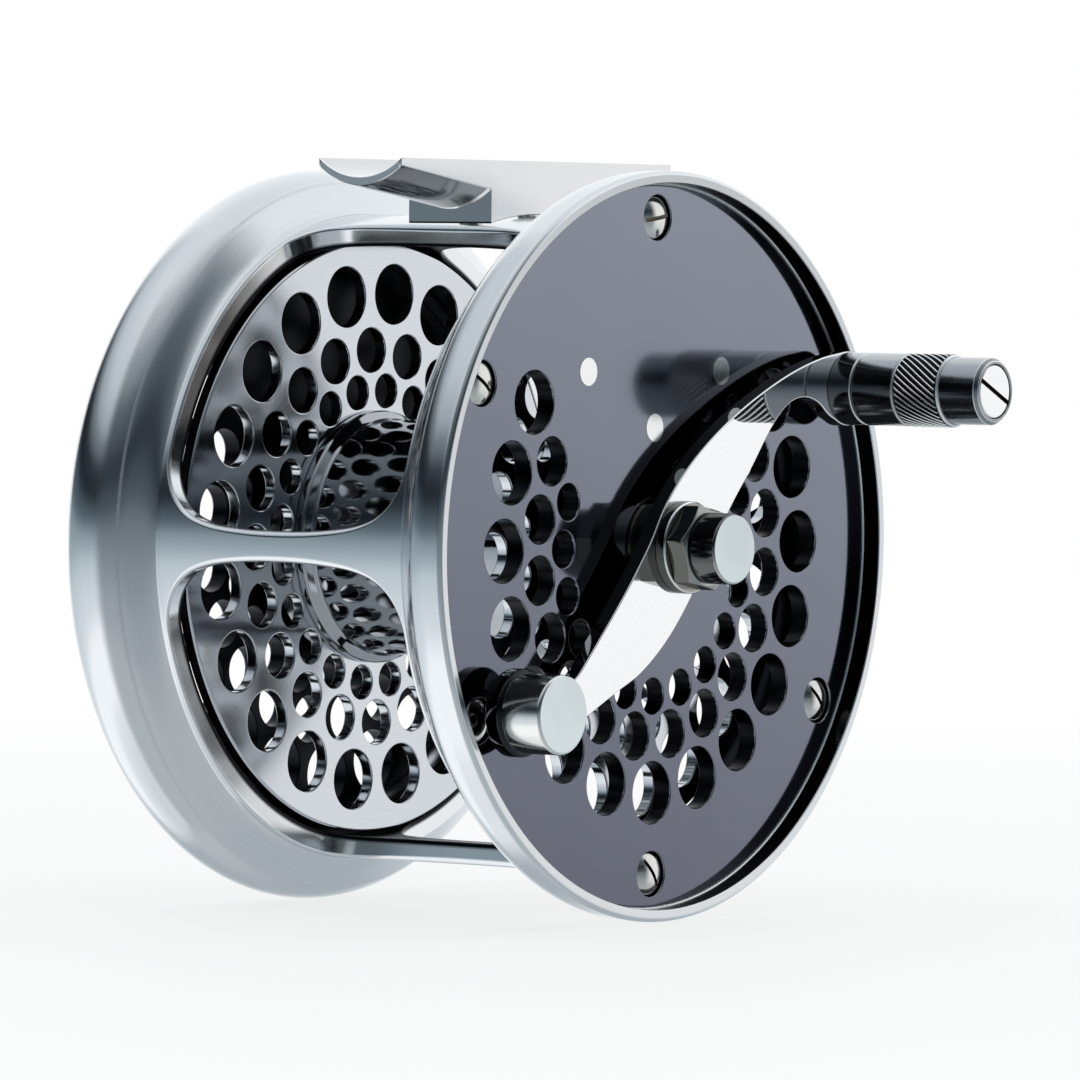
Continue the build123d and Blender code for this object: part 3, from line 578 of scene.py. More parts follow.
def cage_tint(mat, colour):
    x, radius = mat.x, mat.radius
    # painted shade on the recess wall round the front plate
    recess_shade = mat.both(mat.fall(radius, 48.44, 48.52), mat.ramp(radius, 46.0, 47.5),
                      mat.ramp(x, HOLE_TOP, HOLE_END), mat.fall(x, FACE - 0.24, FACE - 0.12))
    # painted shade: the bore at the rear of the barrel is near black
    bore = mat.both(mat.fall(radius, 41.5, 41.9), mat.ramp(x, FACE - 56.5, FACE - 55.5))
    # painted reflection: a warm dark tint on the narrow rear sill of the windows, on the -y side and
    # stronger towards the foot
    sill_reflection = mat.both(mat.ramp(x, FACE - 51.25, FACE - 51.40), mat.ramp(x, FACE - 51.8, FACE - 51.6),
                    mat.ramp(radius, 41.35, 41.55), mat.fall(radius, 43.35, 43.60))
    _, y, z = mat.split(mat.position)
    sill_reflection = mat.both(sill_reflection, mat.ramp(z, -30.0, 22.0, low=0.35, high=0.92),
                    mat.fall(y, -30.0, -14.0))
    colour = mat.blend(sill_reflection, colour, (0.30, 0.272, 0.245))
    # painted highlight on the small fillet at the foot of the recess wall
    fillet_highlight = mat.both(*fillet_highlight_band(mat), mat.ramp(x, PLATE_FRONT - 0.1, PLATE_FRONT - 0.06),
                      mat.fall(x, HOLE_TOP, HOLE_END))
    colour = mat.blend(fillet_highlight, colour, (0.90, 0.93, 0.94))
    # painted shade: the front face darkens towards the foot
    face = mat.blend(mat.ramp(z, -10.0, 50.0), (0.665, 0.685, 0.70), (0.50, 0.515, 0.53))
    colour = mat.blend(mat.ramp(x, FACE - 0.03, FACE - 0.01), colour, face)
    colour = mat.blend(bore, colour, BORE_SHADE_BLACK)
    return mat.blend(recess_shade, colour, (0.045, 0.047, 0.054))


def cage_polish(mat, rough):
    soft = mat.both(*fillet_highlight_band(mat), mat.ramp(mat.x, HOLE_TOP, HOLE_END, low=0.25, high=0.0))
    bore = mat.ramp(mat.radius, 41.5, 41.9, low=0.16, high=0.0)
    return mat.calc("ADD", rough, mat.calc("ADD", bore, soft))


def arm_tint(mat, colour):
    # distance from the counterweight's axis
    flat = mat.node("VectorMath", {0: mat.position, 1: (0, 1, 1), 2: (0, -WEIGHT[0], -WEIGHT[1])},
                    operation="MULTIPLY_ADD")
    distance = mat.length(flat.outputs[0])
    # painted shadow: a dark ring on the arm's face round the foot of the counterweight
    ring = mat.both(mat.ramp(distance, 5.18, 5.24), mat.fall(distance, 5.84, 5.92),
                    mat.ramp(mat.x, FACE + 0.6, FACE + 0.8))
    colour = mat.blend(ring, colour, (0.03, 0.032, 0.036))
    # painted shade: the arm's side walls are darkened
    flank_shade = mat.ramp(mat.calc("ABSOLUTE", mat.facing("x")), 0.05, 0.22, low=0.72, high=0.0)
    colour = mat.blend(flank_shade, colour, (0.05, 0.052, 0.058))
    # painted shade where the arm is seen by reflection, more where it does not face forward
    share = mat.ramp(mat.facing("x"), 0.6, 0.9, low=0.85, high=0.55)
    return paint_reflected_shade(mat, colour, share)


def end_face(face_x, face_shading_colour, upper_shade_colour=None):
    """Tint with painted light and shade for a front face at face_x, in its own colour with random
    lighter patches, and, if asked, for sides that do not look down.
    """
    def tint(mat, colour):
        if upper_shade_colour:
            # painted shade: sides that do not look down take the darker colour
            colour = mat.blend(mat.ramp(mat.facing("z"), -0.45, -0.12), colour, upper_shade_colour)
            colour = paint_reflected_shade(mat, colour)
        patches = mat.noise(mat.position, scale=0.16, detail=1.0, rough=0.4)
        lighter = tuple(min(1.0, c * 1.22) for c in face_shading_colour)
        face = mat.blend(mat.ramp(patches, 0.35, 0.65, high=0.35), face_shading_colour, lighter)
        return mat.blend(mat.ramp(mat.x, face_x - 0.05, face_x - 0.01), colour, face)
    return tint


# (distance in front of FACE, half width) of the painted highlights on the grip's turned edges
GRIP_EDGE_HIGHLIGHTS = ((5.55, 0.10), (5.86, 0.10), (12.50, 0.18), (19.80, 0.12), (25.58, 0.07), (26.10, 0.08))


def grip_edge_highlights(mat):
    widest = None
    for ahead, half in GRIP_EDGE_HIGHLIGHTS:
        back, front = FACE + ahead - half, FACE + ahead + half
        lip = mat.both(mat.ramp(mat.x, back, back + 0.03), mat.fall(mat.x, front - 0.03, front))
        widest = lip if widest is None else mat.calc("MAXIMUM", widest, lip)
    return widest


def grip_polish(mat, rough):
    return mat.calc("ADD", rough, mat.calc("MULTIPLY", grip_edge_highlights(mat), 0.24))


def grip_tint(mat, colour):
    x = mat.x
    band = mat.both(mat.ramp(x, FACE + 12.66, FACE + 12.76), mat.fall(x, FACE + 19.56, FACE + 19.66))
    crest = mat.ramp(mat.radius, 4.90, 4.965)
    edge_highlights = grip_edge_highlights(mat)
    # painted highlight: sides of the grip that face up are lighter
    colour = mat.blend(mat.ramp(mat.facing("z"), 0.30, 0.80), colour, (0.50, 0.52, 0.545))
    front_rim = mat.ramp(x, FACE + 25.66, FACE + 25.70)
    colour = mat.blend(front_rim, colour, (0.32, 0.335, 0.345))
    # painted shade and highlight on the knurl: dark grooves, bright crests
    knurl_shade_and_highlight = mat.blend(crest, (0.035, 0.038, 0.042), (0.98, 0.98, 0.98))
    colour = mat.blend(band, colour, knurl_shade_and_highlight)
    # painted highlights on the turned edges
    return mat.blend(edge_highlights, colour, (0.95, 0.95, 0.95))


def nut_tint(mat, colour):
    up = mat.facing("z")
    # painted light and shade by facing: sides that look down lighter and warmer, sides that look up
    # darker, the steepest down-facing ones mid grey, the crown a darker grey
    side = mat.blend(mat.ramp(up, -0.30, 0.30), (0.60, 0.59, 0.52), (0.32, 0.35, 0.345))
    side = mat.blend(mat.ramp(up, -0.60, -0.85), side, (0.38, 0.375, 0.335))
    crown = mat.ramp(mat.facing("x"), 0.45, 0.70)
    return paint_reflected_shade(mat, mat.blend(crown, side, (0.36, 0.37, 0.35)))


def collar_tint(mat, colour):
    forward = mat.facing("x")
    # painted highlight on the rounded outer edge of the front
    edge = mat.both(mat.ramp(forward, 0.15, 0.35), mat.fall(forward, 0.93, 0.99),
                    mat.ramp(mat.radius, 5.7, 5.8))
    return paint_reflected_shade(mat, mat.blend(edge, colour, (0.92, 0.94, 0.93)))


def foot_tint(mat, colour):
    up, sideways = mat.facing("z"), mat.calc("ABSOLUTE", mat.facing("y"))
    # painted shade: the underside is darker, and darker still near the block
    under = mat.ramp(up, -0.25, -0.75)
    colour = mat.blend(under, colour, (0.30, 0.31, 0.325))
    shade_near_block = mat.both(under, mat.ramp(mat.radius, 48.6, 46.4))
    colour = mat.blend(shade_near_block, colour, (0.085, 0.085, 0.09))
    reach = mat.calc("ABSOLUTE", mat.split(mat.position)[1])
    # painted shade on the end faces of the block, with a painted shadow line where it meets the cage
    block = mat.both(mat.ramp(reach, 10.9, 10.7), mat.ramp(sideways, 0.5, 0.8))
    colour = mat.blend(block, colour, (0.46, 0.475, 0.49))
    contact_shadow = mat.both(block, mat.ramp(mat.radius, 44.30, 44.22))
    colour = mat.blend(contact_shadow, colour, SHADE_BLACK)
    # painted highlights: bright edges at the tips of the wings, and where the underside meets the
    # block
    tip_highlight = mat.both(mat.ramp(reach, 29.72, 29.76), mat.ramp(sideways, 0.97, 0.90))
    root_highlight = mat.both(mat.ramp(reach, 10.56, 10.60), mat.ramp(reach, 11.5, 11.3), under)
    return mat.blend(mat.calc("MAXIMUM", tip_highlight, root_highlight), colour, (1.0, 1.0, 1.0))


def foot_polish(mat, rough):
    return mat.calc("ADD", rough, mat.ramp(mat.facing("z"), -0.25, -0.75, high=-0.06))


HUB_NICKEL = (0.335, 0.325, 0.295)
FINISH = {
    "cage": metal("cage_satin_polish", (0.80, 0.822, 0.84), rough=0.15, line=0.10, haze=0.022,
                  tint=cage_tint, polish=cage_polish),
    "flange": metal("flange_turned", (0.64, 0.665, 0.70), rough=0.12, line=0.16, haze=0.02,
                    freq=6.0),
    "arbor": metal("arbor_polish", (0.46, 0.475, 0.50), rough=0.06, line=0.06, haze=0.012),
    "plate": plate_material("gloss_black_plate", face_x=PLATE_FRONT, sign=1.0, edge_radius=48.1),
    "plate_rear": plate_material("gloss_black_rear_plate", face_x=REAR_FACE, sign=-1.0,
                                 edge_radius=44.36),
    "arm": metal("arm_mirror", (0.895, 0.90, 0.905), rough=0.025, line=0.008, haze=0.005,
                 brushed=(2.0, 2.4, 2.4), tint=arm_tint),
    "hub": metal("hub_nickel", HUB_NICKEL, rough=0.11, haze=0.02),
    "nut": metal("nut_nickel", HUB_NICKEL, rough=0.11, haze=0.02, tint=nut_tint),
    "collar": metal("collar_nickel", HUB_NICKEL, rough=0.12, haze=0.02, tint=collar_tint),
    # painted light and shade: the front faces of the cap and the counterweight have their own bluer
    # colour, and the cap's upper sides are dark
    "cap": metal("cap_nickel", (0.60, 0.60, 0.57), rough=0.10, haze=0.015,
                 tint=end_face(FACE + 10.46, (0.545, 0.605, 0.615), (0.20, 0.205, 0.205))),
    "weight": metal("weight_nickel", (0.84, 0.845, 0.82), rough=0.15, centre=WEIGHT, line=0.14,
                    haze=0.02, tint=end_face(FACE + 8.04, (0.58, 0.64, 0.655))),
    "screw": metal("screw_nickel", (0.72, 0.715, 0.68), rough=0.13, line=0.15,
                   brushed=(1.2, 1.2, 7.0)),
    "grip": metal("grip_dark_chrome", (0.33, 0.345, 0.37), rough=0.165, centre=GRIP, line=0.10,
                  haze=0.02, tint=grip_tint, polish=grip_polish),
    "grip_end": metal("grip_end_nickel", (0.90, 0.90, 0.90), rough=0.12, centre=GRIP, line=0.16,
                      haze=0.02),
    "foot": metal("foot_satin", (0.76, 0.765, 0.775), rough=0.20, line=0.25, haze=0.04,
                  brushed=(7.0, 0.5, 7.0), tint=foot_tint, polish=foot_polish),
    "steel": metal("inner_steel", (0.62, 0.63, 0.65), rough=0.20, line=0.2, haze=0.04),
    "spring": metal("blue_spring_steel", (0.28, 0.30, 0.36), rough=0.24, line=0.2, haze=0.04,
                    brushed=BRUSHED),
    "bronze": metal("bearing_bronze", (0.72, 0.48, 0.26), rough=0.24, line=0.25, haze=0.05),
    "pin": metal("post_ends", (0.86, 0.865, 0.845), rough=0.12, line=0.1, haze=0.02,
                 brushed=BRUSHED),
    # painted shade: dark colour for the insides of the screw slots
    "slot_shade": metal("slot_shade", (0.085, 0.075, 0.058), rough=0.35, brushed=BRUSHED),
    "cork": cork_material(),
}

# ---------------------------------------------------------------------------
# Cage: front ring and rear bead joined by a windowed barrel wall
# ---------------------------------------------------------------------------
SEGMENTS = 360
BARREL_OUT, BARREL_IN = 44.0, 41.0
WALL_FRONT, WALL_REAR = FACE - 11.0, FACE - 52.1
WINDOW_FRONT, WINDOW_REAR = FACE - 11.6, FACE - 51.5

# (x from FACE, half width) of the solid parts between windows
PILLAR_EDGE = [
    (-11.6, 11.2), (-12.1, 8.6), (-13.2, 6.5), (-15.4, 4.45), (-19.0, 3.1),
    (-25.5, 2.3), (-31.8, 2.1), (-38.0, 2.25), (-44.0, 2.9), (-47.6, 4.2),
    (-49.8, 6.4), (-51.0, 8.9), (-51.5, 11.6),
]
BRIDGE_EDGE = [
    (-11.6, 20.4), (-12.2, 17.6), (-13.9, 15.0), (-17.2, 13.4), (-23.0, 12.4),
    (-31.8, 11.8), (-40.5, 11.7), (-46.3, 12.3), (-49.4, 14.0), (-51.0, 16.8),
    (-51.5, 19.2),
]
# angle and edge on each side of a window; the bridge at 90 degrees carries the foot
WINDOWS = [
    (0, PILLAR_EDGE, 90, BRIDGE_EDGE), (90, BRIDGE_EDGE, 180, PILLAR_EDGE),
    (180, PILLAR_EDGE, 270, PILLAR_EDGE), (270, PILLAR_EDGE, 360, PILLAR_EDGE),
]


def window_side(angle, edge, side):
    """Edge of a pillar in (arc length, x), from front to rear."""
    middle = math.radians(angle) * BARREL_OUT
    return np.array([(middle + side * BARREL_OUT * math.asin(width / BARREL_OUT), FACE + x)
                     for x, width in spline(edge, [(0, -1), (0, 1)])])


def window_outline(start_angle, start_edge, end_angle, end_edge):
    """Clockwise outline of a window, softened where its four sides meet."""
    forward = window_side(start_angle, start_edge, 1)[::-1]
    backward = window_side(end_angle, end_edge, -1)
    front = np.array([forward[-1], backward[0]])
    rear = np.array([backward[-1], forward[0]])
    sides = ((forward, 0.55), (front, 0.77), (backward, 0.55), (rear, 0.77))
    return soften(np.concatenate([resample(side, step)[:-1] for side, step in sides]), passes=3)


def barrel_map(arc, x, radius, out_arc, out_x, out_radius):
    """Roll the flat wall round the spindle."""
    angle = arc / BARREL_OUT
    cos, sin = math.cos(angle), math.sin(angle)
    return ((x, radius * cos, radius * sin),
            (out_x, -out_arc * sin + out_radius * cos, out_arc * cos + out_radius * sin))


def barrel_wall():
    around = 2 * math.pi * BARREL_OUT
    arcs = np.array([around * j / SEGMENTS for j in range(SEGMENTS + 1)])
    seam = np.linspace(WALL_REAR, WALL_FRONT, 24)[1:-1]
    border = [(arc, WALL_REAR) for arc in arcs]
    border += [(around, x) for x in seam]
    border += [(arc, WALL_FRONT) for arc in arcs[::-1]]
    border += [(0.0, x) for x in seam[::-1]]
    loops = [dict(points=np.array(border))]
    inner = np.linspace(WALL_REAR + 2.0, WALL_FRONT - 2.0, 13)
    grid = np.array([(arc, x) for arc in arcs[1:-1:2] for x in inner])
    clear = np.ones(len(grid), bool)
    for sides in WINDOWS:
        window = window_outline(*sides)
        # edges are rounder halfway between front and rear
        share = (window[:, 1] - WINDOW_REAR) / (WINDOW_FRONT - WINDOW_REAR)
        waist = np.clip(np.sin(np.pi * np.clip(share, 0, 1)), 0, 1) ** 0.7
        loops.append(dict(points=window, normals=loop_normals(window),
                          top=0.30 + 0.62 * waist, low=0.28 + 0.2 * waist))
        clear &= ~inside(window, grid)
        gaps = np.linalg.norm(grid[:, None, :] - window[None, ::2, :], axis=2)
        clear &= np.min(gaps, axis=1) > 1.2
    return slab(loops, BARREL_IN, BARREL_OUT, mapping=barrel_map, extra=grid[clear], steps=5)


def front_ring():
    """Open profile from the barrel's bore round the front ring to its outside."""
    profile = rounded(
        [(WALL_FRONT, BARREL_IN), (PLATE_BACK, BARREL_IN), (PLATE_BACK, 48.35), (FACE, 48.35),
         (FACE, 50.0), (FACE - 4.9, 50.0), (FACE - 10.72, 44.32), (WALL_FRONT + 0.02, 44.22),
         (WALL_FRONT, BARREL_OUT)],
        [0, 0.15, 0.08, 0.16, 0.75, 5.4, 0.3, 0.1, 0], closed=False, steps=14)
    profile[0] = (profile[0][0], np.array([0.0, -1.0]))
    profile[-1] = (profile[-1][0], np.array([0.0, 1.0]))
    return profile


def rear_bead():
    """Open profile from the barrel's outside over the bead to its bore."""
    bead_centre, bead_radius = np.array([FACE - 59.85, 44.0]), 6.0
    first, last, steps = 42.0, 161.0, 46
    bead = []
    for k in range(steps + 1):
        angle = math.radians(first + (last - first) * k / steps)
        normal = np.array([math.cos(angle), math.sin(angle)])
        bead.append((bead_centre + bead_radius * normal, normal))
    # fair blend from the barrel into the bead
    start, end = np.array([WALL_REAR, BARREL_OUT]), bead[0][0]
    leave = 0.7 * np.array([-1.0, 0.0])
    arrive = np.array([-bead[0][1][1], bead[0][1][0]])
    span = np.linalg.norm(end - start)
    profile = [(start, np.array([0.0, 1.0]))]
    for k in range(1, 10):
        s = k / 10
        along = ((6 * s ** 2 - 6 * s) * start + (3 * s ** 2 - 4 * s + 1) * span * leave
                 + (-6 * s ** 2 + 6 * s) * end + (3 * s ** 2 - 2 * s) * span * arrive)
        along /= np.linalg.norm(along)
        profile.append((hermite(s, span, start, leave, end, arrive),
                        np.array([along[1], -along[0]])))
    rim_rear = FACE - 65.5
    tail = rounded(
        [bead[-1][0], (rim_rear, 46.0), (rim_rear, 44.6), (REAR_SEAT, 44.6), (REAR_SEAT, 38.0),
         (REAR_SEAT + 3.4, 38.0), (REAR_SEAT + 3.4, BARREL_IN), (WALL_REAR, BARREL_IN)],
        [0, 0.3, 0.15, 0.08, 0.12, 0.2, 0.12, 0], closed=False, steps=5)
    tail[-1] = (tail[-1][0], np.array([0.0, -1.0]))
    return profile + bead + tail[1:]


# small fillet where the recess wall meets the plate
recess_fillet = rounded([(PLATE_FRONT - 0.02, 48.17), (PLATE_FRONT + 0.18, 48.37),
                         (PLATE_FRONT - 0.02, 48.37)], [0.02] * 3, steps=3)
cage = merge(
    barrel_wall(),
    revolve(front_ring(), segments=SEGMENTS, closed=False),
    revolve(recess_fillet, segments=SEGMENTS),
    revolve(rear_bead(), segments=SEGMENTS, closed=False),
)
build("cage_shell", cage, "cage", FINISH["cage"], replaces="cage_frame",
      slot="polished_aluminium")

# ---------------------------------------------------------------------------
# Perforated plates and spool flanges
# ---------------------------------------------------------------------------
PITCH, FLANGE_PHASE = 18.0, 11.1   # degrees
# (ring radius, hole radius, first angle, number of holes)
PLATE_RINGS = [(32.9, 4.20, 144, 15), (25.47, 3.25, 153, 14), (20.0, 2.45, 162, 13)]
FLANGE_RINGS = [(33.32, 4.10, FLANGE_PHASE, 20), (25.47, 3.05, FLANGE_PHASE + 9, 20),
                (20.0, 2.32, FLANGE_PHASE, 20)]
POSTS = [(-15.0, 23.3), (14.7, 23.3), (-0.2, 15.8), (17.5, 18.2), (5.6, 9.6)]
FRONT_SCREWS = [polar(43.75, 30 + 60 * k) for k in range(6)]
REAR_SCREWS = [polar(41.3, 60 * k) for k in range(6)]
PUSH_PINS = [polar(11.7, a) for a in (90, 210, 330)]
SPOOL_SCREWS = [polar(14.7, FLANGE_PHASE + 90 * k) for k in range(4)]


def ring_holes(rings, edge):
    return [hole_loop(polar(ring_radius, first + PITCH * k), hole_radius, edge, edge)
            for ring_radius, hole_radius, first, count in rings for k in range(count)]


front_loops = [disc_loop(48.3, top=0.42, low=0.1)] + ring_holes(PLATE_RINGS, edge=0.16)
front_loops += [hole_loop(c, 1.89, top=0.03, low=0.03, count=40) for c in POSTS]
front_loops += [hole_loop((0, 0), 6.53, top=0.1, low=0.1, count=96)]
front_loops += [hole_loop(c, 3.07, top=0.14, low=0.1) for c in FRONT_SCREWS]
build("front_plate_disc", slab(front_loops, PLATE_BACK, PLATE_FRONT), "cage", FINISH["plate"],
      replaces="front_side_plate", slot="black_anodised")

REAR_BORE = 7.06
rear_loops = [disc_loop(44.55, top=0.1, low=0.3)] + ring_holes(PLATE_RINGS, edge=0.16)
rear_loops += [hole_loop((0, 0), REAR_BORE, top=0.05, low=0.05, count=96)]
rear_loops += [hole_loop(c, 2.75, top=0.1, low=0.14) for c in REAR_SCREWS]
rear_loops += [hole_loop(c, 1.06, top=0.04, low=0.06, count=32) for c in PUSH_PINS]
rear_boss = rounded([(REAR_FACE + 0.05, REAR_BORE), (REAR_FACE + 0.05, 9.0),
                     (REAR_FACE - 3.6, 9.0), (REAR_FACE - 3.6, REAR_BORE)],
                    [0.02, 0.02, 0.25, 0.15])
build("rear_plate_disc",
      merge(slab(rear_loops, REAR_FACE, REAR_SEAT - 0.02), revolve(rear_boss, segments=144)),
      "cage", FINISH["plate_rear"], replaces="rear_side_plate", slot="black_anodised")

FLANGE_FRONT, FLANGE_BACK = FACE - 10.2, FACE - 12.0
REAR_FLANGE_FRONT, REAR_FLANGE_BACK = FACE - 50.43, FACE - 52.23
FRONT_BORE, REAR_FLANGE_BORE = 4.03, 4.05
NECK_RADIUS = 13.47


def flange(radius, top, low, bore, back, front):
    loops = [disc_loop(radius, top, low)] + ring_holes(FLANGE_RINGS, edge=0.22)
    loops += [hole_loop((0, 0), bore, top=0.05, low=0.05, count=72)]
    loops += [hole_loop(c, 1.5, top=0.06, low=0.06, count=32) for c in SPOOL_SCREWS]
    return slab(loops, back, front)


def neck(back, front, bore, radii):
    """Short sleeve that carries the arbor."""
    return revolve(rounded([(back, bore), (front, bore), (front, NECK_RADIUS),
                            (back, NECK_RADIUS)], radii), segments=120)


front_boss = rounded([(FACE - 8.92, FRONT_BORE), (FACE - 8.92, 7.4), (FLANGE_FRONT - 0.1, 7.4),
                      (FLANGE_FRONT - 0.1, FRONT_BORE)], [0.1, 0.15, 0.02, 0.02])
build("front_flange_disc",
      merge(flange(40.1, 0.4, 0.4, FRONT_BORE, FLANGE_BACK, FLANGE_FRONT),
            revolve(front_boss, segments=120),
            neck(FLANGE_BACK - 2.2, FLANGE_BACK + 0.1, FRONT_BORE, [0.05, 0.02, 0.02, 0.1])),
      "spool", FINISH["flange"], replaces="spool_front_flange", slot="polished_aluminium")
build("rear_flange_disc",
      merge(flange(40.35, 0.35, 0.1, REAR_FLANGE_BORE, REAR_FLANGE_BACK, REAR_FLANGE_FRONT),
            neck(REAR_FLANGE_FRONT - 0.1, REAR_FLANGE_FRONT + 4.0, REAR_FLANGE_BORE,
                 [0.02, 0.05, 0.1, 0.02])),
      "spool", FINISH["flange"], replaces="spool_rear_flange", slot="polished_aluminium")

arbor_rear, arbor_front = REAR_FLANGE_FRONT + 0.02, FLANGE_BACK - 0.02
lathe("arbor_drum",
      [(arbor_rear, 13.5), (arbor_front, 13.5), (arbor_front, 17.25), (arbor_front - 1.25, 17.25),
       (arbor_front - 2.3, 16.0), (arbor_rear + 2.3, 16.0), (arbor_rear + 1.25, 17.25),
       (arbor_rear, 17.25)],
      [0.1, 0.1, 0.3, 0.75, 1.0, 1.0, 0.75, 0.3], "spool", FINISH["arbor"], segments=220, steps=7,
      replaces="spool_arbor", slot="polished_aluminium")

# ---------------------------------------------------------------------------
# Handle arm, hub stack, counterweight
# ---------------------------------------------------------------------------
# (y, z) along the upper and lower edges of the S, from counterweight to grip on the upper
# edge and back again on the lower
ARM_UPPER = [
    (-32.4, -15.3), (-29.6, -17.2), (-26.4, -17.9), (-23.2, -16.65), (-20.85, -14.45),
    (-18.4, -11.95), (-15.4, -8.85), (-11.2, -4.25), (-7.1, 0.75), (-3.9, 5.55),
    (0.9, 10.4), (7.75, 15.25), (15.2, 19.25), (24.35, 23.05), (31.6, 25.1), (36.7, 25.86),
]
ARM_LOWER = [
    (35.5, 16.4), (33.3, 17.3), (31.0, 18.95), (27.9, 19.75), (24.4, 19.1),
    (20.7, 16.4), (15.5, 10.35), (10.7, 5.0), (6.4, -0.6), (2.2, -6.5),
    (-3.1, -12.2), (-9.0, -16.5), (-14.4, -18.9), (-20.6, -21.75), (-26.4, -24.5),
    (-32.6, -26.45),
]
GRIP_END, WEIGHT_END = 5.08, 5.78  # radii of the arm's round ends


def end_arc(centre, radius, start, end):
    """Anticlockwise arc about centre from the direction of start to that of end."""
    first = math.atan2(start[1] - centre[1], start[0] - centre[0])
    last = math.atan2(end[1] - centre[1], end[0] - centre[0])
    while last < first:
        last += 2 * math.pi
    count = max(6, int((last - first) * radius / 0.35))
    return np.array([(centre[0] + radius * math.cos(a), centre[1] + radius * math.sin(a))
                     for a in np.linspace(first, last, count)])


def arm_edge(points):
    """Smooth edge of the S, less the part inside the round ends."""
    curve = spline(points[::-1], per=12)
    clear = ((np.linalg.norm(curve - np.array(GRIP), axis=1) > GRIP_END)
             & (np.linalg.norm(curve - np.array(WEIGHT), axis=1) > WEIGHT_END))
    return curve[clear]


def arm_outline():
    """Anticlockwise outline of the S body and its two round ends, evenly spaced."""
    upper, lower = arm_edge(ARM_UPPER), arm_edge(ARM_LOWER)
    outline = np.concatenate([lower, end_arc(GRIP, GRIP_END, lower[-1], upper[0]),
                              upper, end_arc(WEIGHT, WEIGHT_END, upper[-1], lower[0]),
                              lower[:1]])
    return soften(resample(outline, 0.4)[:-1], passes=2)


arm = arm_outline()
# the front edge is rounder near the counterweight
near_weight = np.clip((7.6 - np.linalg.norm(arm - np.array(WEIGHT), axis=1)) / 1.6, 0, 1)
arm_loops = [dict(points=arm, normals=loop_normals(arm), top=0.2 + 0.32 * near_weight, low=0.2),
             hole_loop((0, 0), 4.03, top=0.1, low=0.1),
             hole_loop(GRIP, 2.4, top=0.08, low=0.08, count=48),
             hole_loop(WEIGHT, 2.85, top=0.1, low=0.1, count=48)]
build("handle_arm_s", slab(arm_loops, ARM_BACK, ARM_FRONT, steps=5), "spool", FINISH["arm"],
      replaces="handle_arm", slot="polished_steel")

lathe("hub_collar_ring",
      [(ARM_SEAT, 3.15), (FACE + 3.5, 3.15), (FACE + 3.5, 6.15), (ARM_SEAT, 6.15)],
      [0.1, 0.1, 0.3, 0.1], "spool", FINISH["collar"], segments=144,
      replaces="hub_collar", slot="nickel_steel")


def hex_nut():
    """Six flat sides, softened corners and a turned cone on the crown."""
    turn = 49.0                    # degrees of the first corner
    corner_radius = 6.0
    back, front = FACE + 3.52, FACE + 6.42
    apothem = corner_radius * math.cos(math.radians(30))
    slope = 2.0                    # radius lost per millimetre of x on the cone
    cone_x, cone_r = slope / math.hypot(1, slope), 1 / math.hypot(1, slope)
    columns = []                   # (angle, radius, angle the side faces)
    for k in range(6):
        middle = turn + 30 + 60 * k
        for swing in np.linspace(-28.9, 28.9, 25):
            columns.append((middle + swing, apothem / math.cos(math.radians(swing)), middle))
        columns.append((middle + 30, corner_radius - 0.035, middle + 30))
    points, normals = [], []
    for angle, radius, side in columns:
        edge = back + 2.38 + (6.05 - radius) / slope
        # (x, radius, normal along x, normal along the radius, angle the normal faces)
        for x, r, out_x, out_r, faced in (
                (back, radius - 0.12, -1, 0, angle),
                (back + 0.04, radius - 0.03, -0.7, 0.7, side),
                (back + 0.12, radius, 0, 1, side),
                (edge - 0.05, radius, 0, 1, side),
                (edge, radius - 0.01, cone_x * 0.5, (1 + cone_r) / 2, side),
                (edge + 0.035, radius - 0.035 * slope, cone_x, cone_r, angle),
                (front - 0.020, 5.05, cone_x, cone_r, angle),
                (front - 0.006, 5.02, 0.96, 0.28, angle),
                (front, 4.98, 1, 0, angle),
                (front, 3.25, 1, 0, angle),
                (front - 0.08, 3.15, 0.7, -0.7, angle),
                (back + 0.08, 3.13, 0, -1, angle),
                (back, 3.21, -1, 0, angle)):
            points.append((x, *polar(r, angle)))
            normals.append((out_x, *polar(out_r, faced)))
    rows = [range(i, len(points), 13) for i in range(13)]
    faces = []
    for i, here in enumerate(rows):
        there = rows[(i + 1) % len(rows)]
        for j in range(len(here)):
            k = (j + 1) % len(here)
            faces.append([here[j], here[k], there[k], there[j]])
    return points, normals, faces


build("hub_hex_nut", hex_nut(), "spool", FINISH["nut"], replaces="handle_nut",
      slot="nickel_steel")
lathe("hub_cap_dome",
      [(FACE + 10.47, 0), (FACE + 10.47, 4.72), (FACE + 6.45, 4.72), (FACE + 6.45, 3.13),
       (FACE + 9.3, 3.13), (FACE + 9.3, 0)],
      [0, 0.38, 0.12, 0.05, 0.05, 0], "spool", FINISH["cap"], segments=144, closed=False,
      replaces="hub_cap", slot="nickel_steel")
lathe("counterweight_body",
      [(FACE + 8.05, 0), (FACE + 8.05, 5.24), (ARM_SEAT, 5.24), (ARM_SEAT, 0)],
      [0, 0.45, 0.1, 0], "spool", FINISH["weight"], centre=WEIGHT, segments=160, closed=False,
      replaces="counterweight", slot="nickel_steel")

# ---------------------------------------------------------------------------
# Grip: ferrule and knurled barrel
# ---------------------------------------------------------------------------
lathe("grip_ferrule_ring",
      [(ARM_SEAT, 2.23), (FACE + 5.6, 2.23), (FACE + 5.6, 4.95), (ARM_SEAT, 4.95)],
      [0.1, 0.1, 0.25, 0.12], "spool", FINISH["grip"], centre=GRIP, segments=128,
      replaces="grip_ferrule", slot="dark_chrome")


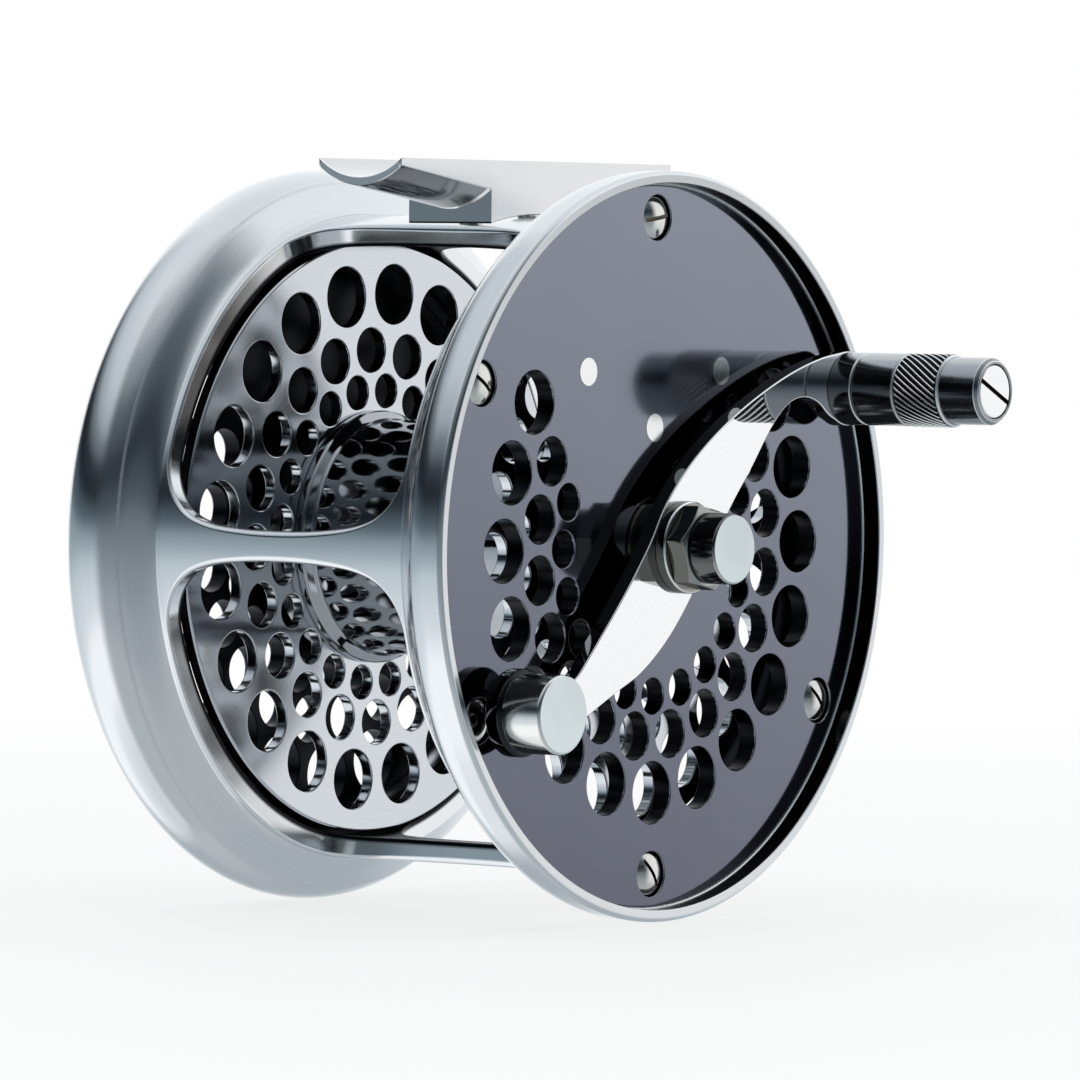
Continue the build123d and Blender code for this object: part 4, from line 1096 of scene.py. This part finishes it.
def grip_barrel():
    """Turned barrel with a raised diagonal knurl cut as real ridges."""
    segments, per_ridge = 432, 12
    shift = 66                     # columns a ridge leans by over the knurl's length
    twist = 2 * math.pi * shift / segments
    knurl_back, knurl_front = FACE + 12.7, FACE + 19.62
    land, crest, groove = 4.9, 5.0, 4.60
    steps = 30
    before = rounded([(FACE + 24.5, 3.72), (FACE + 26.2, 3.72), (FACE + 26.2, 4.0),
                      (FACE + 25.55, 4.56), (FACE + 19.98, 4.56), (FACE + 19.72, 4.86),
                      (knurl_front, land)],
                     [0, 0.08, 0.1, 0.12, 0.1, 0.05, 0], closed=False, steps=4)
    after = rounded([(knurl_back, land), (FACE + 12.62, 4.74), (FACE + 12.42, 4.74),
                     (FACE + 12.3, 4.95), (FACE + 5.92, 4.95), (FACE + 5.72, 4.72),
                     (FACE + 5.72, 3.02), (FACE + 24.5, 3.02)],
                    [0, 0.03, 0.03, 0.08, 0.15, 0.08, 0.05, 0], closed=False, steps=4)
    # height across one ridge, 0 in the groove and 1 on the crest
    lift = [min(1.0, abs(j / per_ridge - 0.5) * 2 * 1.3) for j in range(per_ridge)]
    points, normals = [], []

    def ring(station, turn=0.0):
        (x, radius), (out_x, out_r) = station
        for j in range(segments):
            angle = 2 * math.pi * j / segments - turn
            cos, sin = math.cos(angle), math.sin(angle)
            points.append((x, GRIP[0] + radius * cos, GRIP[1] + radius * sin))
            normals.append((out_x, out_r * cos, out_r * sin))

    for station in before[:-1]:
        ring(station)
    for i in range(steps + 1):
        t = i / steps
        x = knurl_front + (knurl_back - knurl_front) * t
        fade = min(1.0, t / 0.045, (1 - t) / 0.045)
        for j in range(segments):
            angle = 2 * math.pi * j / segments - twist * t
            height = groove + (crest - groove) * lift[j % per_ridge]
            radius = land + (height - land) * fade
            step_up = lift[(j + 1) % per_ridge] - lift[(j - 1) % per_ridge]
            climb = (crest - groove) * step_up / (4 * math.pi / segments) * fade
            cos, sin = math.cos(angle), math.sin(angle)
            lean = -climb / radius
            points.append((x, GRIP[0] + radius * cos, GRIP[1] + radius * sin))
            normals.append((-climb * twist / (knurl_back - knurl_front),
                            cos - lean * sin, sin + lean * cos))
    for station in after[1:]:
        ring(station, twist)
    faces = []
    for here in range(0, len(points), segments):
        there = (here + segments) % len(points)
        # the bore closes onto the untwisted first ring
        offset = -shift if there == 0 else 0
        for j in range(segments):
            k = (j + 1) % segments
            faces.append([here + j, there + (j + offset) % segments,
                          there + (k + offset) % segments, here + k])
    return points, normals, faces


build("grip_knurled_barrel", grip_barrel(), "grip", FINISH["grip"], replaces="grip_barrel",
      slot="dark_chrome")


# ---------------------------------------------------------------------------
# Slotted screw heads
# ---------------------------------------------------------------------------
def subtract(target, points, faces):
    """Cut a solid, in millimetres of the frame, out of target."""
    mesh = bpy.data.meshes.new("cutter")
    mesh.from_pydata([(x * MM, y * MM, z * MM) for x, y, z in points], [], faces)
    work = bmesh.new()
    work.from_mesh(mesh)
    bmesh.ops.recalc_face_normals(work, faces=work.faces)
    work.to_mesh(mesh)
    work.free()
    cutter = place("cutter", mesh)
    cut = target.modifiers.new("cut", "BOOLEAN")
    cut.operation = "DIFFERENCE"
    cut.solver = "EXACT"
    cut.object = cutter
    bpy.context.view_layer.update()
    evaluated = target.evaluated_get(bpy.context.evaluated_depsgraph_get())
    result = bpy.data.meshes.new_from_object(evaluated)
    target.modifiers.remove(cut)
    target.data = result
    bpy.data.objects.remove(cutter)


def set_slot_normals(made, profile, centre, floor_x):
    """Turned parts follow the profile; the slot is flat and gets the dark material that paints its
    shade.
    """
    mesh = made.data
    spots = np.empty(len(mesh.vertices) * 3)
    mesh.vertices.foreach_get("co", spots)
    spots = spots.reshape(-1, 3) * 1000.0
    spots[:, 2] -= SPINDLE_Z
    y, z = spots[:, 1] - centre[0], spots[:, 2] - centre[1]
    radius = np.hypot(y, z)
    # nearest place on the profile, and the normal there
    outline = np.array([point for point, _ in profile], float)
    outward = np.array([normal for _, normal in profile], float)
    flat = np.stack([spots[:, 0], radius], 1)
    start, run = outline[:-1], outline[1:] - outline[:-1]
    along = np.clip(((flat[:, None] - start[None]) * run[None]).sum(2)
                    / np.maximum((run * run).sum(1), 1e-12)[None], 0, 1)
    near = start[None] + along[..., None] * run[None]
    nearest = np.argmin(np.linalg.norm(flat[:, None] - near, axis=2), axis=1)
    share = along[np.arange(len(flat)), nearest][:, None]
    normal = unit_rows(outward[nearest] * (1 - share) + outward[nearest + 1] * share)
    safe = np.maximum(radius, 1e-6)
    turned = np.stack([normal[:, 0], normal[:, 1] * y / safe, normal[:, 1] * z / safe], 1)
    pole = radius < 1e-4
    turned[pole] = (1.0, 0, 0)
    turned[pole & (normal[:, 0] < 0)] = (-1.0, 0, 0)
    mesh.materials.append(FINISH["slot_shade"])
    normals = []
    for face in mesh.polygons:
        square = np.array(face.normal)
        on_floor = (abs(abs(square[0]) - 1) < 1e-4
                    and all(abs(spots[i, 0] - floor_x) < 2e-3 for i in face.vertices))
        in_slot = on_floor or float(np.mean([turned[i] @ square for i in face.vertices])) < 0.8
        if in_slot:
            face.material_index = len(mesh.materials) - 1
        normals += [tuple(square) if in_slot else tuple(turned[i]) for i in face.vertices]
    smooth(mesh)
    mesh.normals_split_custom_set(normals)


BOX_FACES = [(0, 1, 2, 3), (7, 6, 5, 4), (0, 4, 5, 1), (1, 5, 6, 2), (2, 6, 7, 3), (3, 7, 4, 0)]


def slotted(name, outline, radii, body, material, centre, segments, top_x, depth, width, length,
            angle, sign=1, **labels):
    """Turned piece with a straight slot; sign is the way its head faces along X."""
    made = lathe(name, outline, radii, body, material, centre=centre, segments=segments,
                 closed=False, **labels)
    cos, sin = math.cos(math.radians(angle)), math.sin(math.radians(angle))
    floor_x = top_x - sign * depth
    box = []
    for x in (floor_x, top_x + sign * 2.0):
        for side_u, side_v in ((-1, -1), (1, -1), (1, 1), (-1, 1)):
            u, v = side_u * length / 2, side_v * width / 2
            box.append((x, centre[0] + u * cos - v * sin,
                        centre[1] + u * sin + v * cos + SPINDLE_Z))
    subtract(made, box, BOX_FACES)
    set_slot_normals(made, rounded(outline, radii, closed=False), centre, floor_x)
    return made


slotted("grip_end_slotted",
        [(FACE + 26.08, 0), (FACE + 26.08, 3.6), (FACE + 24.56, 3.6), (FACE + 24.56, 2.0),
         (FACE + 24.32, 2.0), (FACE + 24.32, 0)],
        [0, 0.22, 0.08, 0.03, 0.05, 0], "spool", FINISH["grip_end"], centre=GRIP, segments=128,
        top_x=FACE + 26.08, depth=0.75, width=0.66, length=9, angle=-26,
        replaces="grip_end_screw", slot="nickel_steel")


def domed_screw(name, centre, seat_x, rim_x, radius, rise, sign, angle, slot_width):
    """Screw head with a spherical crown that stands rise above its rim."""
    steps = 10
    sphere = (radius * radius + rise * rise) / (2 * rise)
    dome = []                      # from the rim to the middle of the crown
    for k in range(steps + 1):
        reach = radius * (1 - k / steps)
        bulge = math.sqrt(sphere * sphere - reach * reach) - (sphere - rise)
        dome.append((rim_x + sign * bulge, reach))
    if sign > 0:
        outline = dome[::-1] + [(seat_x, radius), (seat_x, 0)]
    else:
        outline = [(seat_x, 0), (seat_x, radius)] + dome
    radii = [0.0] * len(outline)
    radii[outline.index(dome[0])] = 0.1
    return slotted(name, outline, radii, "cage", FINISH["screw"], centre=centre, segments=72,
                   top_x=rim_x + sign * rise, depth=0.62, width=slot_width,
                   length=2.4 * radius, angle=angle, sign=sign)


def join_screws(name, screws, replaces):
    """Put several screws in one object and drop the single ones."""
    points, faces, normals, kinds = [], [], [], []
    for screw in screws:
        mesh, base = screw.data, len(points)
        points += [tuple(v.co) for v in mesh.vertices]
        faces += [[i + base for i in p.vertices] for p in mesh.polygons]
        kinds += [p.material_index for p in mesh.polygons]
        corners = np.empty(len(mesh.loops) * 3, np.float32)
        mesh.corner_normals.foreach_get("vector", corners)
        normals += corners.reshape(-1, 3).tolist()
    mesh = bpy.data.meshes.new(name)
    mesh.from_pydata(points, [], faces)
    smooth(mesh)
    for material in screws[0].data.materials:
        mesh.materials.append(material)
    mesh.polygons.foreach_set("material_index", kinds)
    mesh.normals_split_custom_set(normals)
    place(name, mesh, "cage", replaces)
    for screw in screws:
        bpy.data.objects.remove(screw)


FRONT_SLOTS = [-20, 8.6, -35, 55, -53, -51]    # degrees each slot is turned by
REAR_SLOTS = [12, -40, 75, 28, -66, 50]
join_screws("front_screw_heads",
            [domed_screw(f"fs{k}", centre, seat_x=PLATE_FRONT - 1.58, rim_x=PLATE_FRONT - 0.45,
                         radius=2.85, rise=0.87, sign=1, angle=FRONT_SLOTS[k], slot_width=0.55)
             for k, centre in enumerate(FRONT_SCREWS)],
            "front_plate_screws")
join_screws("rear_screw_heads",
            [domed_screw(f"rs{k}", centre, seat_x=REAR_FACE + 1.48, rim_x=REAR_FACE + 0.4,
                         radius=2.55, rise=0.8, sign=-1, angle=REAR_SLOTS[k], slot_width=0.5)
             for k, centre in enumerate(REAR_SCREWS)],
            "rear_plate_screws")

# ---------------------------------------------------------------------------
# Reel foot: two hollow-topped wings on a saddle block, in (x, y, z) of the frame
# ---------------------------------------------------------------------------
FOOT_HALF, FOOT_HALF_WIDTH = 30.0, 7.0         # along y and x
BLOCK_HALF = 10.5                              # along y
HOLLOW = 2.6                                   # how far the sides rise above the middle
HOLLOW_RADIUS = (FOOT_HALF_WIDTH ** 2 + HOLLOW ** 2) / (2 * HOLLOW)
ROOT_THICK, TIP_THICK = 4.0, 1.15
SADDLE_RADIUS = 44.03


def foot_section(y, thick=0.0, inset=0.0, underside=None):
    """Loop across the foot: the hollow top from -x to +x, then the underside back. The
    underside follows the top, thick below it, or is flat at the height underside."""
    steps, rounding = 28, 0.22
    width = FOOT_HALF_WIDTH - inset
    loop = []
    for k in range(steps + 1):
        x = -width + 2 * width * k / steps
        loop.append((x, HOLLOW_RADIUS - math.sqrt(HOLLOW_RADIUS ** 2 - x * x) - inset * 0.4))
    for k in range(steps + 1):
        x = width - 2 * width * k / steps
        share = x / FOOT_HALF_WIDTH
        follow = -thick + HOLLOW * share * share + inset * 0.4
        loop.append((x, follow if underside is None else underside))
    points, count = [], len(loop)
    for i, point in enumerate(loop):
        if i not in (0, steps, steps + 1, count - 1):
            points.append(point)
            continue
        before, point, after = (np.array(p) for p in (loop[i - 1], point, loop[(i + 1) % count]))
        length_in, length_out = np.linalg.norm(point - before), np.linalg.norm(after - point)
        start = point + (before - point) / length_in * min(rounding, 0.45 * length_in)
        end = point + (after - point) / length_out * min(rounding, 0.45 * length_out)
        for s in (0.0, 0.25, 0.5, 0.75, 1.0):
            points.append((1 - s) ** 2 * start + 2 * s * (1 - s) * point + s * s * end)
    return [(x, y, z) for x, z in points]


def foot_shape():
    wing_steps, block_steps = 12, 16
    # (y, thickness, inset) of a wing from its rounded tip to the block
    wing = [(FOOT_HALF, TIP_THICK, 0.25), (FOOT_HALF - 0.07, TIP_THICK, 0.07),
            (FOOT_HALF - 0.25, 1.16, 0.0)]
    span = FOOT_HALF - BLOCK_HALF
    for k in range(1, wing_steps + 1):
        y = FOOT_HALF - span * k / wing_steps
        wing.append((y, ROOT_THICK + (TIP_THICK - ROOT_THICK) * (y - BLOCK_HALF) / span, 0.0))
    sections = [foot_section(-y, thick, inset) for y, thick, inset in wing]
    for k in range(block_steps + 1):
        y = -BLOCK_HALF + 2 * BLOCK_HALF * k / block_steps
        saddle = SPINDLE_Z + math.sqrt(SADDLE_RADIUS ** 2 - y * y)
        sections.append(foot_section(y, underside=saddle))
    sections += [foot_section(y, thick, inset) for y, thick, inset in wing[::-1]]
    count = len(sections[0])
    points = [point for section in sections for point in section]
    faces = []
    for here in range(0, len(points) - count, count):
        there = here + count
        for i in range(count):
            j = (i + 1) % count
            faces.append([here + i, here + j, there + j, there + i])
    # end caps as strips between top and underside
    for base, step in ((0, 1), (len(points) - count, -1)):
        for i in range(count // 2 - 1):
            strip = [base + i, base + count - 1 - i, base + count - 2 - i, base + i + 1]
            faces.append(strip[::step])
    return points, faces


def shade_foot(mesh):
    smooth(mesh)
    mesh.set_sharp_from_angle(angle=math.radians(35))


def sink_hole(target, y, r_top, z_top, r_bottom, z_bottom):
    """Cut a conical screw seat, open at the top."""
    segments = 48
    points, faces = [], []
    for z, radius in ((z_bottom, r_bottom), (z_top, r_top), (z_top + 4, r_top)):
        for j in range(segments):
            angle = 2 * math.pi * j / segments
            points.append((radius * math.cos(angle), y + radius * math.sin(angle), z))
    for base in (0, segments):
        for j in range(segments):
            i = (j + 1) % segments
            faces.append((base + j, base + i, base + segments + i, base + segments + j))
    faces.append(tuple(range(segments))[::-1])
    faces.append(tuple(range(2 * segments, 3 * segments)))
    subtract(target, points, faces)
    shade_foot(target.data)


def stray_corner(work):
    """An open edge with another open corner on it: (edge, its start, share along it, corner)."""
    open_edges = [e for e in work.edges if e.is_boundary]
    corners = {v for e in open_edges for v in e.verts}
    for edge in open_edges:
        start, end = edge.verts
        run = end.co - start.co
        for corner in corners:
            if corner in (start, end):
                continue
            share = (corner.co - start.co).dot(run) / run.length_squared
            if 0.02 < share < 0.98 and (start.co + run * share - corner.co).length < 1e-7:
                return edge, start, share, corner
    return None


def close_seams(mesh):
    """Split open edges at the corners that lie on them, so that the mesh is closed."""
    work = bmesh.new()
    work.from_mesh(mesh)
    for _ in range(8):
        found = stray_corner(work)
        if not found:
            break
        edge, start, share, corner = found
        _, added = bmesh.utils.edge_split(edge, start, share)
        bmesh.ops.weld_verts(work, targetmap={added: corner})
    work.to_mesh(mesh)
    work.free()


foot_points, foot_faces = foot_shape()
foot_mesh = bpy.data.meshes.new("reel_foot_saddle")
foot_mesh.from_pydata([(x * MM, y * MM, z * MM) for x, y, z in foot_points], [], foot_faces)
foot_work = bmesh.new()
foot_work.from_mesh(foot_mesh)
bmesh.ops.remove_doubles(foot_work, verts=foot_work.verts, dist=1e-7)
bmesh.ops.recalc_face_normals(foot_work, faces=foot_work.faces)
foot_work.to_mesh(foot_mesh)
foot_work.free()
shade_foot(foot_mesh)
foot_mesh.materials.append(FINISH["foot"])
foot = place("reel_foot_saddle", foot_mesh, "cage", "reel_foot")
for screw_y in (-6.5, 6.5):
    sink_hole(foot, screw_y, r_top=2.9, z_top=-0.05, r_bottom=1.6, z_bottom=-1.35)
close_seams(foot.data)
# flat faces keep flat shading beside the small roundings
weighted = foot.modifiers.new("weighted", "WEIGHTED_NORMAL")
weighted.keep_sharp = True
weighted.weight = 60
foot.visible_glossy = False        # keeps the wing's dark image off the rear bead

# ---------------------------------------------------------------------------
# Finishes for the CAD nodes that stay in view
# ---------------------------------------------------------------------------
CAD_FINISH = {
    "foot_screws": "screw", "click_pivot_post": "pin", "click_spring_post": "pin",
    "click_stop_posts": "pin", "front_bearing_bush": "hub", "rear_bearing_bush": "bronze",
    "click_spring": "spring", "drag_key_pins": "steel", "spindle": "steel",
    "spool_front_screws": "screw", "spool_rear_screws": "screw", "spool_key": "steel",
    "click_wheel": "steel", "click_wheel_screws": "screw", "hub_spacer": "hub",
    "drag_friction_disc": "cork", "spindle_end_washer": "hub", "spindle_end_screw": "screw",
    "counterweight_screw": "arm", "grip_post": "steel", "grip_bush": "bronze",
    "drag_pressure_plate": "steel", "drag_spring_washer": "spring",
    "drag_follower_ring": "steel", "drag_push_pins": "steel", "drag_thrust_washer": "steel",
    "click_lever": "steel", "drag_knob": "cage",
}
for node_name, finish in CAD_FINISH.items():
    cad_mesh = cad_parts[node_name].data
    cad_mesh.materials.clear()
    cad_mesh.materials.append(FINISH[finish])

# ---------------------------------------------------------------------------
# Studio, in metres: white to the camera, graded surround for light and reflections
# ---------------------------------------------------------------------------
# (height of the direction from 0 straight down to 1 straight up, red, green, blue)
NEAR_SKY = [                       # the -y side
    (0.000, 0.76, 0.80, 0.82), (0.106, 0.92, 0.95, 0.97), (0.160, 1.12, 1.15, 1.17),
    (0.260, 1.12, 1.15, 1.17), (0.345, 0.80, 0.85, 0.89), (0.422, 0.66, 0.73, 0.78),
    (0.491, 0.33, 0.41, 0.46), (0.540, 0.085, 0.115, 0.14), (0.600, 0.012, 0.016, 0.022),
    (0.650, 0.025, 0.033, 0.040), (0.700, 0.17, 0.20, 0.22), (0.760, 0.44, 0.49, 0.53),
    (0.840, 0.64, 0.69, 0.74), (1.000, 0.80, 0.84, 0.87),
]
FAR_SKY = [                        # the +y side
    (0.00, 0.56, 0.60, 0.63), (0.10, 0.47, 0.51, 0.54), (0.20, 0.46, 0.51, 0.55),
    (0.28, 0.60, 0.65, 0.68), (0.37, 0.90, 0.93, 0.95), (0.43, 1.02, 1.03, 1.04),
    (0.52, 1.05, 1.06, 1.07), (0.60, 1.05, 1.07, 1.09), (0.70, 1.0, 1.03, 1.05),
    (0.82, 0.95, 0.98, 1.0), (1.00, 0.82, 0.85, 0.88),
]
FRONT_SKY = [                      # towards +x, in front of the plate
    (0.000, 0.52, 0.56, 0.58), (0.205, 0.50, 0.54, 0.56), (0.345, 0.39, 0.43, 0.46),
    (0.430, 0.29, 0.33, 0.36), (0.491, 0.21, 0.25, 0.28), (0.570, 0.07, 0.09, 0.105),
    (0.640, 0.03, 0.04, 0.05), (0.760, 0.10, 0.125, 0.14), (0.865, 0.29, 0.33, 0.35),
    (0.940, 0.50, 0.54, 0.57), (1.000, 0.78, 0.81, 0.83),
]
NEAR_WAY, FRONT_WAY = (-0.3665, -0.930, 0.0), (0.857, -0.515, 0.0)


def studio_world():
    world = bpy.data.worlds.new("studio")
    sky = Graph(world)
    sky.tree.nodes.clear()

    def unit(vector):
        return sky.node("VectorMath", {0: vector}, operation="NORMALIZE").outputs[0]

    def towards(vector, way, start, end):
        """1 where a level direction points along way, with a soft border."""
        aligned = sky.node("VectorMath", {0: vector, 1: way}, operation="DOT_PRODUCT")
        return sky.ramp(aligned.outputs["Value"], start, end, interpolation_type="SMOOTHSTEP")

    x, y, z = sky.split(unit(sky.node("TexCoord").outputs["Generated"]))
    height = sky.ramp(z, -1, 1)
    near, front, far = (sky.colour_ramp(height, stops, "EASE")
                        for stops in (NEAR_SKY, FRONT_SKY, FAR_SKY))
    level = unit(sky.node("CombineXYZ", {0: x, 1: y}).outputs[0])
    colour = sky.blend(towards(level, NEAR_WAY, -0.16, 0.14), far, near)
    colour = sky.blend(towards(level, FRONT_WAY, 0.30, 0.68), colour, front)
    surround = sky.node("Background", {0: colour, 1: 1.0})
    seen = sky.node("Background", {0: (1, 1, 1), 1: 1.0})
    camera_ray = sky.node("LightPath").outputs["Is Camera Ray"]
    mixed = sky.node("MixShader", {0: camera_ray, 1: surround.outputs[0], 2: seen.outputs[0]})
    sky.node("OutputWorld", {0: mixed.outputs[0]})
    return world


def floor_material():
    """Pale near the reel, melting into white; clear when seen from underneath."""
    mat = Graph(bpy.data.materials.new("pale_floor"))
    mat.surface({"Base Color": (0.93, 0.93, 0.93), "Roughness": 0.6, "Specular IOR Level": 0.2})
    glow = mat.node("Emission", {0: (1, 1, 1), 1: 1.0})
    geometry = mat.node("NewGeometry").outputs
    share = mat.ramp(mat.length(geometry["Position"]), 0.12, 0.55, low=0.78, high=1.0,
                     interpolation_type="SMOOTHSTEP")
    pale = mat.tree.nodes["Principled BSDF"].outputs[0]
    above = mat.node("MixShader", {0: share, 1: pale, 2: glow.outputs[0]})
    clear = mat.node("BsdfTransparent")
    whole = mat.node("MixShader", {0: geometry["Backfacing"], 1: above.outputs[0],
                                   2: clear.outputs[0]})
    mat.feed(mat.tree.nodes["Material Output"], {0: whole.outputs[0]})
    return mat.owner


def make_floor():
    segments, radius, height = 96, 3.0, -0.09875
    points = [(0, 0, height)]
    for j in range(segments):
        angle = 2 * math.pi * j / segments
        points.append((radius * math.cos(angle), radius * math.sin(angle), height))
    mesh = bpy.data.meshes.new("floor")
    mesh.from_pydata(points, [], [(0, 1 + j, 1 + (j + 1) % segments) for j in range(segments)])
    floor = place("floor", mesh)
    floor.visible_glossy = False
    mesh.materials.append(floor_material())


def make_softbox():
    light = bpy.data.lights.new("overhead", "AREA")
    light.shape = "RECTANGLE"
    light.size, light.size_y = 0.9, 0.7
    light.energy = 2.5
    softbox = place("overhead", light)
    softbox.location = (0.15, -0.25, 0.85)
    aim = Vector((0.02, 0, -0.05))
    softbox.rotation_mode = "QUATERNION"
    softbox.rotation_quaternion = (aim - softbox.location).to_track_quat("-Z", "Y")
    softbox.visible_camera = False
    softbox.visible_glossy = False


def make_camera():
    lens = bpy.data.cameras.new("camera")
    camera = place("camera", lens)
    lens.sensor_width = 36.0
    lens.lens = 275.6569
    lens.clip_start, lens.clip_end = 0.05, 20.0
    # columns: the camera's right, up and backward directions, and its place
    camera.matrix_world = Matrix((
        (0.79568638, -0.02775493, 0.6050726, 0.68117980),
        (0.60562522, 0.0198571, -0.79550223, -0.88543533),
        (0.01006412, 0.99941751, 0.03260911, -0.01209874),
        (0, 0, 0, 1),
    ))
    bpy.context.scene.camera = camera


scene = bpy.context.scene
scene.world = studio_world()
make_floor()
make_softbox()
make_camera()

scene.view_settings.view_transform = "Standard"
scene.view_settings.look = "None"
scene.cycles.max_bounces = 14
scene.cycles.glossy_bounces = 12
scene.cycles.diffuse_bounces = 3
scene.cycles.use_denoising = True
